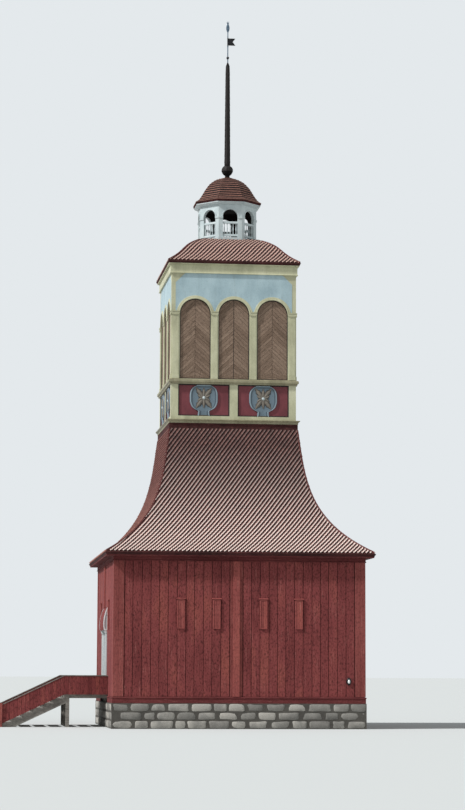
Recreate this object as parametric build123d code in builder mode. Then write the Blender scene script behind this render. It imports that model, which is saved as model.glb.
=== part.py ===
from build123d import *
import os
from math import cos, radians, sin

# Wooden bell tower with a red boarded base, a concave shingled skirt roof, a square
# arcaded belfry, an eight-sided open lantern and a mast with a weather vane.
# Millimetres. Z is up, the ground is z = 0 and the tower's axis is X = Y = 0.
# The main front faces -Y and the entrance with its stair is on the -X side.

os.makedirs("parts", exist_ok=True)

# Foundation and base walls
base_half = 4000.0
wall_thickness = 250.0
foundation_height = 800.0
foundation_projection = 60.0
foundation_thickness = 460.0
floor_level = 1090.0
floor_board = 50.0
joist_width = 120.0
joist_count = 7

# Boards on the base walls
sill_cap_level = 1010.0
sill_cap_drop = 25.0
sill_projection = 45.0
sill_cap_projection = 62.0
corner_board_width = 340.0
corner_board_thickness = 35.0
corner_groove = 12.0
mid_board_width = 220.0
mid_board_thickness = 50.0
mid_back_board_width = 400.0
mid_back_board_thickness = 22.0
mid_board_shift = 120.0
frieze_level = 5283.0
frieze_thickness = 45.0
frieze_bead = 18.0

# Narrow covered slits in the base walls
hatch_width = 235.0
hatch_height = 930.0
hatch_depth = 45.0
hatch_level = 3144.0
hatch_inner_place = 750.0
hatch_outer_place = 1890.0
hatch_cap_height = 22.0
hatch_cap_overhang = 20.0
slit_margin = 35.0

# Entrance
door_half_width = 790.0
door_height = 2000.0
jamb_thickness = 60.0
sill_rise = 20.0
leaf_gap = 8.0
meeting_gap = 12.0
leaf_board = 35.0
leaf_ledge = 25.0
door_ledge_height = 140.0
ledge_inset = 180.0
strap_width = 44.0
strap_thickness = 6.0
strap_length = 560.0
eye_radius = 14.0
eye_clearance = 2.0
pin_radius = 7.0
pin_clearance = 0.3
pintle_plate = 60.0
pilaster_inner = 865.0
pilaster_width = 110.0
pilaster_projection = 65.0
pilaster_foot_height = 160.0
pilaster_head_height = 90.0
pilaster_step = 20.0
hood_half_width = 1000.0
hood_projection = 130.0
hood_foot_projection = 105.0
hood_height = 747.0
hood_belly_height = 180.0

# Stair and landing
landing_length = 1430.0
landing_half_width = 1600.0
deck_thickness = 40.0
landing_beam_depth = 120.0
landing_beam_width = 100.0
landing_post = 120.0
riser_count = 7
tread_depth = 332.0
tread_thickness = 40.0
tread_nosing = 25.0
stringer_thickness = 50.0
stringer_depth = 150.0
parapet_thickness = 50.0
parapet_rise = 551.0
parapet_drop = 43.0
parapet_cap_thickness = 30.0
parapet_cap_overhang = 25.0
newel_width = 110.0
newel_rise = 60.0

# Skirt roof, as a curve from its top to its eave
skirt_eave_overhang = 333.0
skirt_eave_level = 5545.0
skirt_top_projection = 32.0
skirt_top_level = 9716.0
skirt_top_pitch = 82.7
skirt_eave_pitch = 29.3
skirt_top_pull = 1636.0
skirt_eave_pull = 2237.0
skirt_thickness = 100.0
soffit_thickness = 28.0
top_band_height = 189.0
top_band_projection = 55.0

# Belfry
belfry_half = 2075.0
belfry_wall = 180.0
cornice_height = 140.0
cornice_projection = 124.0
cornice_fillet = 40.0
cornice_foot_step = 65.0
panel_level = 10150.0
panel_height = 1050.0
panel_inner = 135.0
panel_corner_margin = 240.0
panel_recess = 40.0
panel_board = 60.0
ledge_height = 139.0
ledge_projection = 84.0
corner_post = 275.0
pier_width = 255.0
arch_sill_rise = 41.0
arch_spring_level = 13530.0
capital_height = 100.0
capital_projection = 30.0
shutter_thickness = 50.0
shutter_recess = 60.0
shutter_gap = 3.0
belfry_frieze_level = 14891.0
belfry_frieze_thickness = 40.0
belfry_floor_rise = 11.0
belfry_floor_thickness = 80.0

# Cartouches on the belfry panels
cartouche_half_width = 467.0
cartouche_top_half = 235.0
cartouche_body_height = 840.0
cartouche_stem_half = 205.0
cartouche_thickness = 28.0
cartouche_shoulder = 110.0
cartouche_waist = 190.0
cartouche_boss_radius = 46.0

# Upper roof, as a curve from its eave to the lantern's foot
roof_eave_overhang = 145.0
roof_eave_level = 15285.0
roof_top_half = 900.0
roof_top_level = 16275.0
roof_eave_pitch = 32.5
roof_top_pitch = 23.3
roof_eave_pull = 894.0
roof_top_pull = 930.0
roof_thickness = 80.0
upper_soffit_thickness = 27.0

# Lantern
lantern_apothem = 953.0
lantern_wall = 90.0
curb_height = 80.0
curb_projection = 22.0
lantern_arch_half = 250.0
lantern_spring_level = 17070.0
lantern_head_level = 17480.0
rail_foot_gap = 40.0
rail_bar_height = 70.0
rail_bar_thickness = 60.0
rail_level = 16830.0
baluster_count = 5
baluster_side = 30.0
lantern_capital_height = 60.0
lantern_capital_projection = 22.0
dome_eave_apothem = 1115.0
dome_eave_level = 17616.0
dome_top_radius = 95.0
dome_top_level = 18552.0
dome_eave_pitch = 28.0
dome_top_pitch = 10.6
dome_eave_pull = 412.0
dome_top_pull = 740.0
dome_thickness = 60.0

# Mast and weather vane
ball_level = 18838.0
ball_radius = 185.0
ball_flat_radius = 108.0
neck_radius = 75.0
mast_foot_radius = 94.0
mast_top_radius = 62.0
mast_top_level = 22523.0
mast_cap_height = 130.0
rod_radius = 12.0
rod_top_level = 23690.0
knob_level = 22805.0
knob_radius = 40.0
knob_half_height = 36.0
vane_level = 23371.0
vane_hub_height = 290.0
vane_hub_radius = 20.0
vane_hub_clearance = 0.5
vane_seat_radius = 24.0
vane_seat_height = 14.0
vane_length = 262.0
vane_height = 250.0
vane_notch = 90.0
vane_thickness = 5.0
finial_height = 420.0
finial_half_width = 55.0
finial_belly_height = 147.0
finial_leaf_height = 336.0
prong_spread = 33.0
finial_thickness = 10.0

# Small gaps that keep like pieces of one set apart, and walls clear of a curved roof
joint_gap = 2.0
roof_fit = 0.5

# Arcs in each roof curve, and staves in the ball, the mast and the knob
arcs_per_curve = 7
stave_count = 12

# Places worked out from the sizes above
wall_inner = base_half - wall_thickness
foundation_half = base_half + foundation_projection
door_head = floor_level + door_height
opening_half = door_half_width + jamb_thickness
parapet_outer = landing_half_width + parapet_thickness
landing_edge = base_half + landing_length
riser = floor_level / riser_count
stair_slope = riser / tread_depth
stair_foot = landing_edge + tread_depth * (riser_count - 1)
belfry_foot = skirt_top_level + top_band_height
belfry_inner = belfry_half - belfry_wall
panel_outer = belfry_half - panel_corner_margin
ledge_level = panel_level + panel_height
ledge_top_level = ledge_level + ledge_height
arch_sill_level = ledge_top_level + arch_sill_rise
arch_half_width = (belfry_half - corner_post - pier_width) / 3
arch_pitch = 2 * arch_half_width + pier_width
skirt_eave_half = base_half + skirt_eave_overhang
skirt_top_half = belfry_half + skirt_top_projection
top_band_half = belfry_half + top_band_projection
roof_eave_half = belfry_half + roof_eave_overhang
curb_top = roof_top_level + curb_height
eye_axis_x = -(wall_inner - eye_radius - eye_clearance)
wall_middle_x = -(wall_inner + wall_thickness / 2)
octagon_turn = 360 / 16


def save(piece, node):
    """Names a finished piece after its node and writes it as a STEP file."""
    piece.part.label = node
    export_step(piece.part, f"parts/{node}.step")


def pull_points(start, start_angle, start_pull, end, end_angle, end_pull):
    """Four Bezier points from two ends, the direction of travel at each and how far it pulls."""
    first = radians(start_angle)
    last = radians(end_angle)
    return [
        start,
        (start[0] + start_pull * cos(first), start[1] + start_pull * sin(first)),
        (end[0] - end_pull * cos(last), end[1] - end_pull * sin(last)),
        end,
    ]


def curve_point(points, t):
    """A point of a cubic Bezier curve: each control point weighted by its Bernstein term."""
    weights = [(1 - t) ** 3, 3 * t * (1 - t) ** 2, 3 * t**2 * (1 - t), t**3]
    return tuple(sum(w * p[axis] for w, p in zip(weights, points)) for axis in (0, 1))


def arc_row(points):
    """A cubic Bezier curve as a row of arcs, each through three points of the curve."""
    last = 2 * arcs_per_curve
    places = [curve_point(points, step / last) for step in range(last + 1)]
    for start, middle, end in zip(places[0::2], places[1::2], places[2::2]):
        ThreePointArc(start, middle, end)


def curve_height(points, out):
    """The height of a curve at a distance out from the axis, by halving the range of t."""
    low = 0.0
    high = 1.0
    outwards = points[-1][0] > points[0][0]
    for _ in range(40):
        middle = (low + high) / 2
        if (curve_point(points, middle)[0] < out) == outwards:
            low = middle
        else:
            high = middle
    return curve_point(points, low)[1]


def under_points(points, start_shift, end_shift):
    """The underside of a roof curve: its first two points moved by one shift, its last two by another."""
    shifts = [start_shift, start_shift, end_shift, end_shift]
    return [(p[0] + s[0], p[1] + s[1]) for p, s in zip(points, shifts)]


def curved_section(outer, inner, closed=False):
    """A roof's cross-section in (distance out, height), between two curves. A closed one has a
    flat top that runs in to the axis."""
    with BuildSketch(Plane.XZ) as section:
        with BuildLine():
            arc_row(outer)
            if closed:
                Polyline(outer[-1], (0, outer[-1][1]), (0, inner[-1][1]), inner[-1])
            else:
                Line(outer[-1], inner[-1])
            arc_row(inner[::-1])
            Line(inner[0], outer[0])
        make_face()
    return section.sketch


def mitred_side(profile, reach, gap=0.0, sides=4):
    """The +X side of a frame of equal sides: a profile run along Y and cut at half a side's
    angle at both ends."""
    half = radians(180 / sides)
    with BuildPart() as side:
        extrude(profile, amount=reach, both=True)
        for hand in (-1, 1):
            cut = Plane(origin=(gap, 0, 0), z_dir=(-sin(half), hand * cos(half), 0))
            split(bisect_by=cut, keep=Keep.BOTTOM)
    return side.part


def all_round(profile, reach, sides):
    """A piece with equal sides round the axis: one mitred side, turned and joined."""
    with BuildPart() as ring:
        with PolarLocations(0, sides):
            add(mitred_side(profile, reach, sides=sides))
    return ring


def on_four_sides(piece):
    """The same piece on all four sides of the tower."""
    with BuildPart() as ring:
        with PolarLocations(0, 4):
            add(piece)
    return ring


def moulded_profile(points):
    """A closed profile in (distance out, height)."""
    with BuildSketch(Plane.XZ) as profile:
        with BuildLine():
            Polyline(*points, close=True)
        make_face()
    return profile.sketch


# Foundation: a ring of masonry, wide enough inside the walls to carry the floor
with BuildPart() as foundation:
    with BuildSketch():
        Rectangle(2 * foundation_half, 2 * foundation_half)
        inner_side = 2 * (foundation_half - foundation_thickness)
        Rectangle(inner_side, inner_side, mode=Mode.SUBTRACT)
    extrude(amount=foundation_height)
save(foundation, "foundation")

# Ground floor: boards on joists that lie on the foundation
joist_depth = floor_level - floor_board - foundation_height
joist_pitch = (2 * wall_inner - joist_width) / (joist_count - 1)
with BuildPart() as floor_joists:
    with BuildSketch(Plane.XY.offset(foundation_height)):
        with GridLocations(joist_pitch, 0, joist_count, 1):
            Rectangle(joist_width, 2 * wall_inner)
    extrude(amount=joist_depth)
save(floor_joists, "floor_joists")

with BuildPart() as ground_floor:
    with BuildSketch(Plane.XY.offset(floor_level - floor_board)):
        Rectangle(2 * wall_inner, 2 * wall_inner)
    extrude(amount=floor_board)
save(ground_floor, "ground_floor")

# Skirt roof: its curve first, because the walls end under it
skirt_outer = pull_points(
    (skirt_top_half, skirt_top_level),
    -skirt_top_pitch,
    skirt_top_pull,
    (skirt_eave_half, skirt_eave_level),
    -skirt_eave_pitch,
    skirt_eave_pull,
)
skirt_edge_shift = (
    -skirt_thickness * sin(radians(skirt_eave_pitch)),
    -skirt_thickness * cos(radians(skirt_eave_pitch)),
)
skirt_inner = under_points(skirt_outer, (-skirt_thickness, 0), skirt_edge_shift)
skirt_side = mitred_side(curved_section(skirt_outer, skirt_inner), skirt_eave_half + skirt_thickness)
for turn, side_name in enumerate(["right", "back", "left", "front"]):
    with BuildPart() as skirt_roof:
        add(skirt_side, rotation=(0, 0, 90 * turn))
    save(skirt_roof, f"skirt_roof_{side_name}")

wall_top = curve_height(skirt_inner, base_half) - roof_fit
soffit_outer, soffit_top = skirt_inner[-1]
soffit_foot = soffit_top - soffit_thickness


def slits(places):
    """Cuts for narrow slits at the given places along the base wall's middle plane."""
    with Locations(*[(place, hatch_level + hatch_height / 2) for place in places]):
        Rectangle(hatch_width - 2 * slit_margin, hatch_height - 2 * slit_margin, mode=Mode.SUBTRACT)


def base_wall(half_width, places, start=None):
    """The front wall's panel from one end to the other, with its slits cut through."""
    first = -half_width if start is None else start
    with BuildPart() as wall:
        with BuildSketch(Plane.XZ.offset(wall_inner)):
            with Locations(((first + half_width) / 2, (foundation_height + wall_top) / 2)):
                Rectangle(half_width - first, wall_top - foundation_height)
            slits(places)
        extrude(amount=wall_thickness)
    return wall.part


slit_places = [-hatch_outer_place, -hatch_inner_place, hatch_inner_place, hatch_outer_place]
with BuildPart() as front_wall:
    add(base_wall(base_half, slit_places))
save(front_wall, "front_wall")

with BuildPart() as back_wall:
    add(base_wall(base_half, slit_places), rotation=(0, 0, 180))
save(back_wall, "back_wall")

with BuildPart() as right_wall:
    add(base_wall(wall_inner, slit_places), rotation=(0, 0, 90))
save(right_wall, "right_wall")

# The entrance wall, in three pieces: one beside the doorway on each hand and one over it
with BuildPart() as left_wall_near:
    add(base_wall(wall_inner, [hatch_outer_place], opening_half), rotation=(0, 0, -90))
save(left_wall_near, "left_wall_near")

with BuildPart() as left_wall_far:
    add(base_wall(wall_inner, [hatch_outer_place], opening_half).mirror(Plane.YZ), rotation=(0, 0, -90))
save(left_wall_far, "left_wall_far")

with BuildPart() as left_wall_over_door:
    with BuildSketch(Plane.XY.offset(door_head + jamb_thickness)):
        with Locations((wall_middle_x, 0)):
            Rectangle(wall_thickness, 2 * opening_half)
    extrude(amount=wall_top - door_head - jamb_thickness)
save(left_wall_over_door, "left_wall_over_door")

# Corner boards: an L at each corner, grooved along the middle of each face
corner_outer = base_half + corner_board_thickness
with BuildPart() as one_corner:
    with BuildSketch(Plane.XY.offset(sill_cap_level)):
        with Locations((corner_outer, corner_outer)):
            Rectangle(corner_board_width, corner_board_width, align=Align.MAX)
        with Locations((base_half, base_half)):
            Rectangle(corner_board_width, corner_board_width, align=Align.MAX, mode=Mode.SUBTRACT)
        groove_place = corner_outer - corner_board_width / 2
        with Locations((corner_outer, groove_place), (groove_place, corner_outer)):
            Rectangle(corner_groove, corner_groove, rotation=45, mode=Mode.SUBTRACT)
    extrude(amount=frieze_level - sill_cap_level)
corner_boards = on_four_sides(one_corner.part)
save(corner_boards, "corner_boards")


def mid_board(foot):
    """The stepped board at the middle of the front wall, from a given height to the frieze."""
    with BuildPart() as board:
        with BuildSketch(Plane.XY.offset(foot)):
            with Locations((-mid_board_shift, -base_half)):
                Rectangle(mid_back_board_width, mid_back_board_thickness, align=(Align.CENTER, Align.MAX))
                Rectangle(mid_board_width, mid_board_thickness, align=(Align.CENTER, Align.MAX))
        extrude(amount=frieze_level - foot)
    return board.part


# Middle boards: on three sides over the full height, on the entrance side above the hood
hood_foot = door_head + jamb_thickness
hood_top = hood_foot + hood_height
with BuildPart() as mid_boards:
    for turn in (0, 90, 180):
        add(mid_board(sill_cap_level), rotation=(0, 0, turn))
    add(mid_board(hood_top), rotation=(0, 0, -90))
save(mid_boards, "mid_boards")

# Sill band: a board round the foot of the walls with a sloping cap, left out at the landing
sill_profile = moulded_profile(
    [
        (base_half, foundation_height),
        (base_half + sill_projection, foundation_height),
        (base_half + sill_projection, sill_cap_level - 2 * sill_cap_drop),
        (base_half + sill_cap_projection, sill_cap_level - 2 * sill_cap_drop),
        (base_half + sill_cap_projection, sill_cap_level - sill_cap_drop),
        (base_half, sill_cap_level),
    ]
)
sill_side = mitred_side(sill_profile, base_half + 2 * sill_cap_projection, joint_gap)
with BuildPart() as sill_band:
    with PolarLocations(0, 4):
        add(sill_side)
    with BuildSketch(Plane.XY.offset(foundation_height)):
        with Locations((-landing_edge, 0)):
            Rectangle(landing_length, 2 * (parapet_outer + joint_gap), align=(Align.MIN, Align.CENTER))
    extrude(amount=sill_cap_level - foundation_height, mode=Mode.SUBTRACT)
save(sill_band, "sill_band")

# Eave frieze: the board under the skirt's eave, with a bead along its lower edge, and the
# soffit boards that run from it out to the roof's edge
frieze_face = base_half + frieze_thickness
eave_profile = moulded_profile(
    [
        (base_half, frieze_level),
        (frieze_face + frieze_bead, frieze_level),
        (frieze_face + frieze_bead, frieze_level + frieze_bead),
        (frieze_face, frieze_level + 2 * frieze_bead),
        (frieze_face, soffit_foot),
        (soffit_outer, soffit_foot),
        (soffit_outer, soffit_top),
        (base_half, soffit_top),
    ]
)
eave_frieze = on_four_sides(mitred_side(eave_profile, skirt_eave_half, joint_gap))
save(eave_frieze, "eave_frieze")


# Slit hatches: a shallow box with a cap board over each narrow slit
def hatches(places):
    """The front wall's hatches, with their backs on the wall face."""
    with BuildPart() as row:
        with BuildSketch(Plane.XZ.offset(base_half)):
            with Locations(*[(place, hatch_level + hatch_height / 2) for place in places]):
                Rectangle(hatch_width, hatch_height)
        extrude(amount=hatch_depth)
        with BuildSketch(Plane.XZ.offset(base_half)):
            with Locations(*[(place, hatch_level + hatch_height) for place in places]):
                Rectangle(
                    hatch_width + 2 * hatch_cap_overhang,
                    hatch_cap_height,
                    align=(Align.CENTER, Align.MIN),
                )
        extrude(amount=hatch_depth + hatch_cap_overhang)
    return row.part


with BuildPart() as slit_hatches:
    for turn in (0, 90, 180):
        add(hatches(slit_places), rotation=(0, 0, turn))
    add(hatches([-hatch_outer_place, hatch_outer_place]), rotation=(0, 0, -90))
save(slit_hatches, "slit_hatches")

# Doorway: jambs, lintel and sill, as deep as the wall
with BuildPart() as door_jambs:
    with BuildSketch(Plane.XY.offset(floor_level + sill_rise)):
        jamb_y = (door_half_width + opening_half) / 2
        with Locations((wall_middle_x, -jamb_y), (wall_middle_x, jamb_y)):
            Rectangle(wall_thickness, jamb_thickness)
    extrude(amount=door_height - sill_rise)
save(door_jambs, "door_jambs")

with BuildPart() as door_lintel:
    with BuildSketch(Plane.XY.offset(door_head)):
        with Locations((wall_middle_x, 0)):
            Rectangle(wall_thickness, 2 * opening_half)
    extrude(amount=jamb_thickness)
save(door_lintel, "door_lintel")

with BuildPart() as door_sill:
    with BuildSketch(Plane.XY.offset(foundation_height)):
        with Locations((wall_middle_x, 0)):
            Rectangle(wall_thickness, 2 * opening_half)
    extrude(amount=floor_level + sill_rise - foundation_height)
save(door_sill, "door_sill")

# Door leaves: upright boards with three ledges on the room side, for the near leaf
leaf_foot = floor_level + sill_rise + leaf_gap
leaf_height = door_head - leaf_gap - leaf_foot
leaf_edge = door_half_width - leaf_gap
leaf_width = leaf_edge - meeting_gap / 2
leaf_middle = -(leaf_edge - leaf_width / 2)
leaf_face = -wall_inner
ledge_levels = [
    leaf_foot + ledge_inset,
    leaf_foot + leaf_height / 2,
    leaf_foot + leaf_height - ledge_inset,
]
strap_levels = [ledge_levels[0], ledge_levels[2]]
hinge_y = -(door_half_width - leaf_gap / 2)

with BuildPart() as near_leaf:
    with BuildSketch(Plane.XY.offset(leaf_foot)):
        with Locations((leaf_face - leaf_ledge, leaf_middle)):
            Rectangle(leaf_board, leaf_width, align=(Align.MAX, Align.CENTER))
    extrude(amount=leaf_height)
    for level in ledge_levels:
        with BuildSketch(Plane.XY.offset(level - door_ledge_height / 2)):
            with Locations((leaf_face, leaf_middle)):
                Rectangle(leaf_ledge, leaf_width, align=(Align.MAX, Align.CENTER))
        extrude(amount=door_ledge_height)

# Strap hinges: a bar on the ledge that ends in an eye round the pin
with BuildPart() as near_straps:
    for level in strap_levels:
        with BuildSketch(Plane.XY.offset(level - strap_width / 2)):
            with Locations((leaf_face, hinge_y)):
                Rectangle(strap_thickness, strap_length, align=(Align.MIN, Align.MIN))
            with Locations((eye_axis_x, hinge_y)):
                Circle(eye_radius)
        extrude(amount=strap_width)
        with BuildSketch(Plane.XY.offset(level - strap_width / 2)):
            with Locations((eye_axis_x, hinge_y)):
                Circle(pin_radius + pin_clearance)
        extrude(amount=strap_width, mode=Mode.SUBTRACT)

# Pintles: a plate on the jamb, a shelf below the eye and the pin that stands on it
with BuildPart() as near_pintles:
    for level in strap_levels:
        shelf_top = level - strap_width / 2 - pin_clearance
        with BuildSketch(Plane.XY.offset(shelf_top - strap_thickness)):
            with Locations((leaf_face, -door_half_width)):
                Rectangle(2 * eye_radius + eye_clearance, jamb_thickness, align=(Align.MIN, Align.MAX))
            with Locations((eye_axis_x, hinge_y)):
                Circle(eye_radius)
        extrude(amount=strap_thickness)
        with BuildSketch(Plane.XY.offset(shelf_top - pintle_plate)):
            with Locations((leaf_face, -door_half_width)):
                Rectangle(strap_thickness, jamb_thickness, align=(Align.MIN, Align.MAX))
        extrude(amount=pintle_plate)
        with BuildSketch(Plane.XY.offset(shelf_top)):
            with Locations((eye_axis_x, hinge_y)):
                Circle(pin_radius)
        extrude(amount=strap_width + pin_clearance)

for side_name, mirrored in (("near", False), ("far", True)):
    with BuildPart() as door_leaf:
        add(near_leaf.part.mirror(Plane.XZ) if mirrored else near_leaf.part)
    save(door_leaf, f"door_leaf_{side_name}")
    with BuildPart() as door_straps:
        add(near_straps.part.mirror(Plane.XZ) if mirrored else near_straps.part)
    save(door_straps, f"door_straps_{side_name}")

with BuildPart() as door_pintles:
    add(near_pintles.part)
    add(near_pintles.part.mirror(Plane.XZ))
save(door_pintles, "door_pintles")

# Door pilasters: shaft, foot and head, standing on the landing
pilaster_middle = pilaster_inner + pilaster_width / 2
with BuildPart() as door_pilasters:
    for level, height, step in (
        (floor_level, hood_foot - floor_level, 0.0),
        (floor_level, pilaster_foot_height, pilaster_step),
        (hood_foot - pilaster_head_height, pilaster_head_height, pilaster_step),
    ):
        with BuildSketch(Plane.XY.offset(level)):
            with Locations((-base_half, pilaster_middle), (-base_half, -pilaster_middle)):
                Rectangle(
                    pilaster_projection + step,
                    pilaster_width + 2 * step,
                    align=(Align.MAX, Align.CENTER),
                )
        extrude(amount=height)
save(door_pilasters, "door_pilasters")

# Door hood: a shallow bowed hood, its section swelling out from the wall and back in
with BuildPart() as door_hood:
    with BuildSketch(Plane.XZ):
        with BuildLine():
            belly = (-base_half - hood_projection, hood_foot + hood_belly_height)
            foot = (-base_half - hood_foot_projection, hood_foot)
            tip = (-base_half, hood_top)
            TangentArc(belly, tip, tangent=(0, 1))
            TangentArc(belly, foot, tangent=(0, -1))
            Polyline(foot, (-base_half, hood_foot), tip)
        make_face()
    extrude(amount=hood_half_width, both=True)
save(door_hood, "door_hood")

# Landing: boards on a frame of beams and posts
with BuildPart() as landing_deck:
    with BuildSketch(Plane.XY.offset(floor_level - deck_thickness)):
        with Locations((-base_half, 0)):
            Rectangle(landing_length, 2 * landing_half_width, align=(Align.MAX, Align.CENTER))
    extrude(amount=deck_thickness)
save(landing_deck, "landing_deck")

beam_foot = floor_level - deck_thickness - landing_beam_depth
beam_length = landing_length - stringer_thickness
with BuildPart() as landing_frame:
    with BuildSketch(Plane.XY.offset(beam_foot)):
        with Locations((-base_half, 0)):
            Rectangle(beam_length, 2 * landing_half_width, align=(Align.MAX, Align.CENTER))
        with Locations((-base_half + landing_beam_width, 0)):
            Rectangle(
                beam_length,
                2 * (landing_half_width - landing_beam_width),
                align=(Align.MAX, Align.CENTER),
                mode=Mode.SUBTRACT,
            )
    extrude(amount=landing_beam_depth)
    with BuildSketch():
        post_x = -(landing_edge - stringer_thickness)
        for place in (-1, 0, 1):
            with Locations((post_x, place * (landing_half_width - landing_post / 2))):
                Rectangle(landing_post, landing_post, align=(Align.MIN, Align.CENTER))
    extrude(amount=beam_foot)
save(landing_frame, "landing_frame")


# Stair: plank treads on sawn stringers, cut as a row of steps over a straight lower edge
stringer_back = -(landing_edge - stringer_thickness)
stringer_run = (tread_thickness + stringer_depth) / stair_slope
with BuildPart() as stair_stringers:
    for place in (-1, 0, 1):
        with BuildSketch(Plane.XZ.offset(place * (landing_half_width - stringer_thickness / 2))):
            with BuildLine():
                outline = [
                    (stringer_back, (stringer_back + stair_foot - stringer_run) * stair_slope),
                    (stringer_back, floor_level - deck_thickness),
                    (-landing_edge, floor_level - deck_thickness),
                ]
                for step in range(1, riser_count):
                    tread_foot = floor_level - step * riser - tread_thickness
                    outline.append((-landing_edge - (step - 1) * tread_depth, tread_foot))
                    outline.append((-landing_edge - step * tread_depth, tread_foot))
                outline.append((-stair_foot, 0))
                outline.append((-stair_foot + stringer_run, 0))
                Polyline(*outline, close=True)
            make_face()
        extrude(amount=stringer_thickness / 2, both=True)
save(stair_stringers, "stair_stringers")

with BuildPart() as stair_treads:
    for step in range(1, riser_count):
        with BuildSketch(Plane.XY.offset(floor_level - step * riser - tread_thickness)):
            with Locations((-landing_edge - (step - 1) * tread_depth, 0)):
                Rectangle(
                    tread_depth + tread_nosing,
                    2 * landing_half_width,
                    align=(Align.MAX, Align.CENTER),
                )
        extrude(amount=tread_thickness)
save(stair_treads, "stair_treads")


def parapet_band(foot, top, place):
    """A band beside the landing and the stair, between two heights over the floor and the nosings."""
    fall = (stair_foot - landing_edge) * stair_slope
    with BuildSketch(Plane.XZ.offset(place)) as band:
        with BuildLine():
            Polyline(
                (-base_half, floor_level + foot),
                (-base_half, floor_level + top),
                (-landing_edge, floor_level + top),
                (-stair_foot, floor_level + top - fall),
                (-stair_foot, floor_level + foot - fall),
                (-landing_edge, floor_level + foot),
                close=True,
            )
        make_face()
    return band.sketch


# Parapets: upright boards as one panel on each side, ending in a newel post at the foot
newel_top = floor_level + parapet_rise - (stair_foot - landing_edge) * stair_slope + newel_rise
with BuildPart() as near_parapet:
    extrude(parapet_band(-parapet_drop, parapet_rise, landing_half_width), amount=parapet_thickness)
    with BuildSketch():
        with Locations((-stair_foot, -landing_half_width)):
            Rectangle(newel_width, newel_width, align=Align.MAX)
    extrude(amount=newel_top)
with BuildPart() as stair_parapets:
    add(near_parapet.part)
    add(near_parapet.part.mirror(Plane.XZ))
save(stair_parapets, "stair_parapets")

with BuildPart() as near_cap:
    cap_side = parapet_band(
        parapet_rise, parapet_rise + parapet_cap_thickness, landing_half_width - parapet_cap_overhang
    )
    extrude(cap_side, amount=parapet_thickness + 2 * parapet_cap_overhang)
with BuildPart() as parapet_caps:
    add(near_cap.part)
    add(near_cap.part.mirror(Plane.XZ))
save(parapet_caps, "parapet_caps")

# Top band: four timbers on the skirt roof's upper edge that carry the belfry
band_profile = moulded_profile(
    [
        (belfry_inner, skirt_top_level),
        (top_band_half, skirt_top_level),
        (top_band_half, belfry_foot),
        (belfry_inner, belfry_foot),
    ]
)
skirt_top_band = on_four_sides(mitred_side(band_profile, top_band_half, joint_gap))
save(skirt_top_band, "skirt_top_band")

# Belfry cornice: a moulding round the belfry's foot
cornice_out = belfry_half + cornice_projection
cornice_top = belfry_foot + cornice_height
cornice_profile = moulded_profile(
    [
        (belfry_half, belfry_foot),
        (top_band_half + cornice_fillet / 4, belfry_foot),
        (top_band_half + cornice_fillet / 4, belfry_foot + cornice_fillet),
        (cornice_out - cornice_fillet, belfry_foot + cornice_foot_step),
        (cornice_out, cornice_top - cornice_fillet),
        (cornice_out, cornice_top - cornice_fillet / 2),
        (belfry_half, cornice_top),
    ]
)
belfry_cornice = on_four_sides(mitred_side(cornice_profile, cornice_out, joint_gap))
save(belfry_cornice, "belfry_cornice")

# Upper roof: its curve first, because the belfry walls end under it
roof_outer = pull_points(
    (roof_eave_half, roof_eave_level),
    180 - roof_eave_pitch,
    roof_eave_pull,
    (roof_top_half, roof_top_level),
    180 - roof_top_pitch,
    roof_top_pull,
)


def normal_shift(pitch, thickness):
    """The step from a roof's face to its underside where the roof has a given pitch."""
    return (-thickness * sin(radians(pitch)), -thickness * cos(radians(pitch)))


roof_inner = under_points(
    roof_outer, normal_shift(roof_eave_pitch, roof_thickness), normal_shift(roof_top_pitch, roof_thickness)
)
belfry_top = curve_height(roof_inner, belfry_half) - roof_fit
roof_soffit_out, roof_soffit_top = roof_inner[0]
roof_soffit_foot = roof_soffit_top - upper_soffit_thickness


def turned_plane(angle):
    """The upright plane through the axis, turned from the front by an angle in degrees."""
    a = radians(angle)
    return Plane(origin=(0, 0, 0), x_dir=(cos(a), sin(a), 0), z_dir=(sin(a), -cos(a), 0))


upper_roof = all_round(curved_section(roof_outer, roof_inner, closed=True), roof_eave_half, 4)
save(upper_roof, "upper_roof")

arch_places = [-arch_pitch, 0, arch_pitch]
panel_width = panel_outer - panel_inner
panel_places = [-(panel_inner + panel_outer) / 2, (panel_inner + panel_outer) / 2]
panel_middle = panel_level + panel_height / 2


def arches(half_width, sill_level, inset=0.0):
    """The three openings of the arcade as one face, each narrowed by an inset."""
    with BuildSketch(Plane.XZ) as openings:
        for place in arch_places:
            with Locations((place, (sill_level + arch_spring_level) / 2)):
                Rectangle(2 * (half_width - inset), arch_spring_level - sill_level)
            with Locations((place, arch_spring_level)):
                Circle(half_width - inset)
    return openings.sketch


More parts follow.
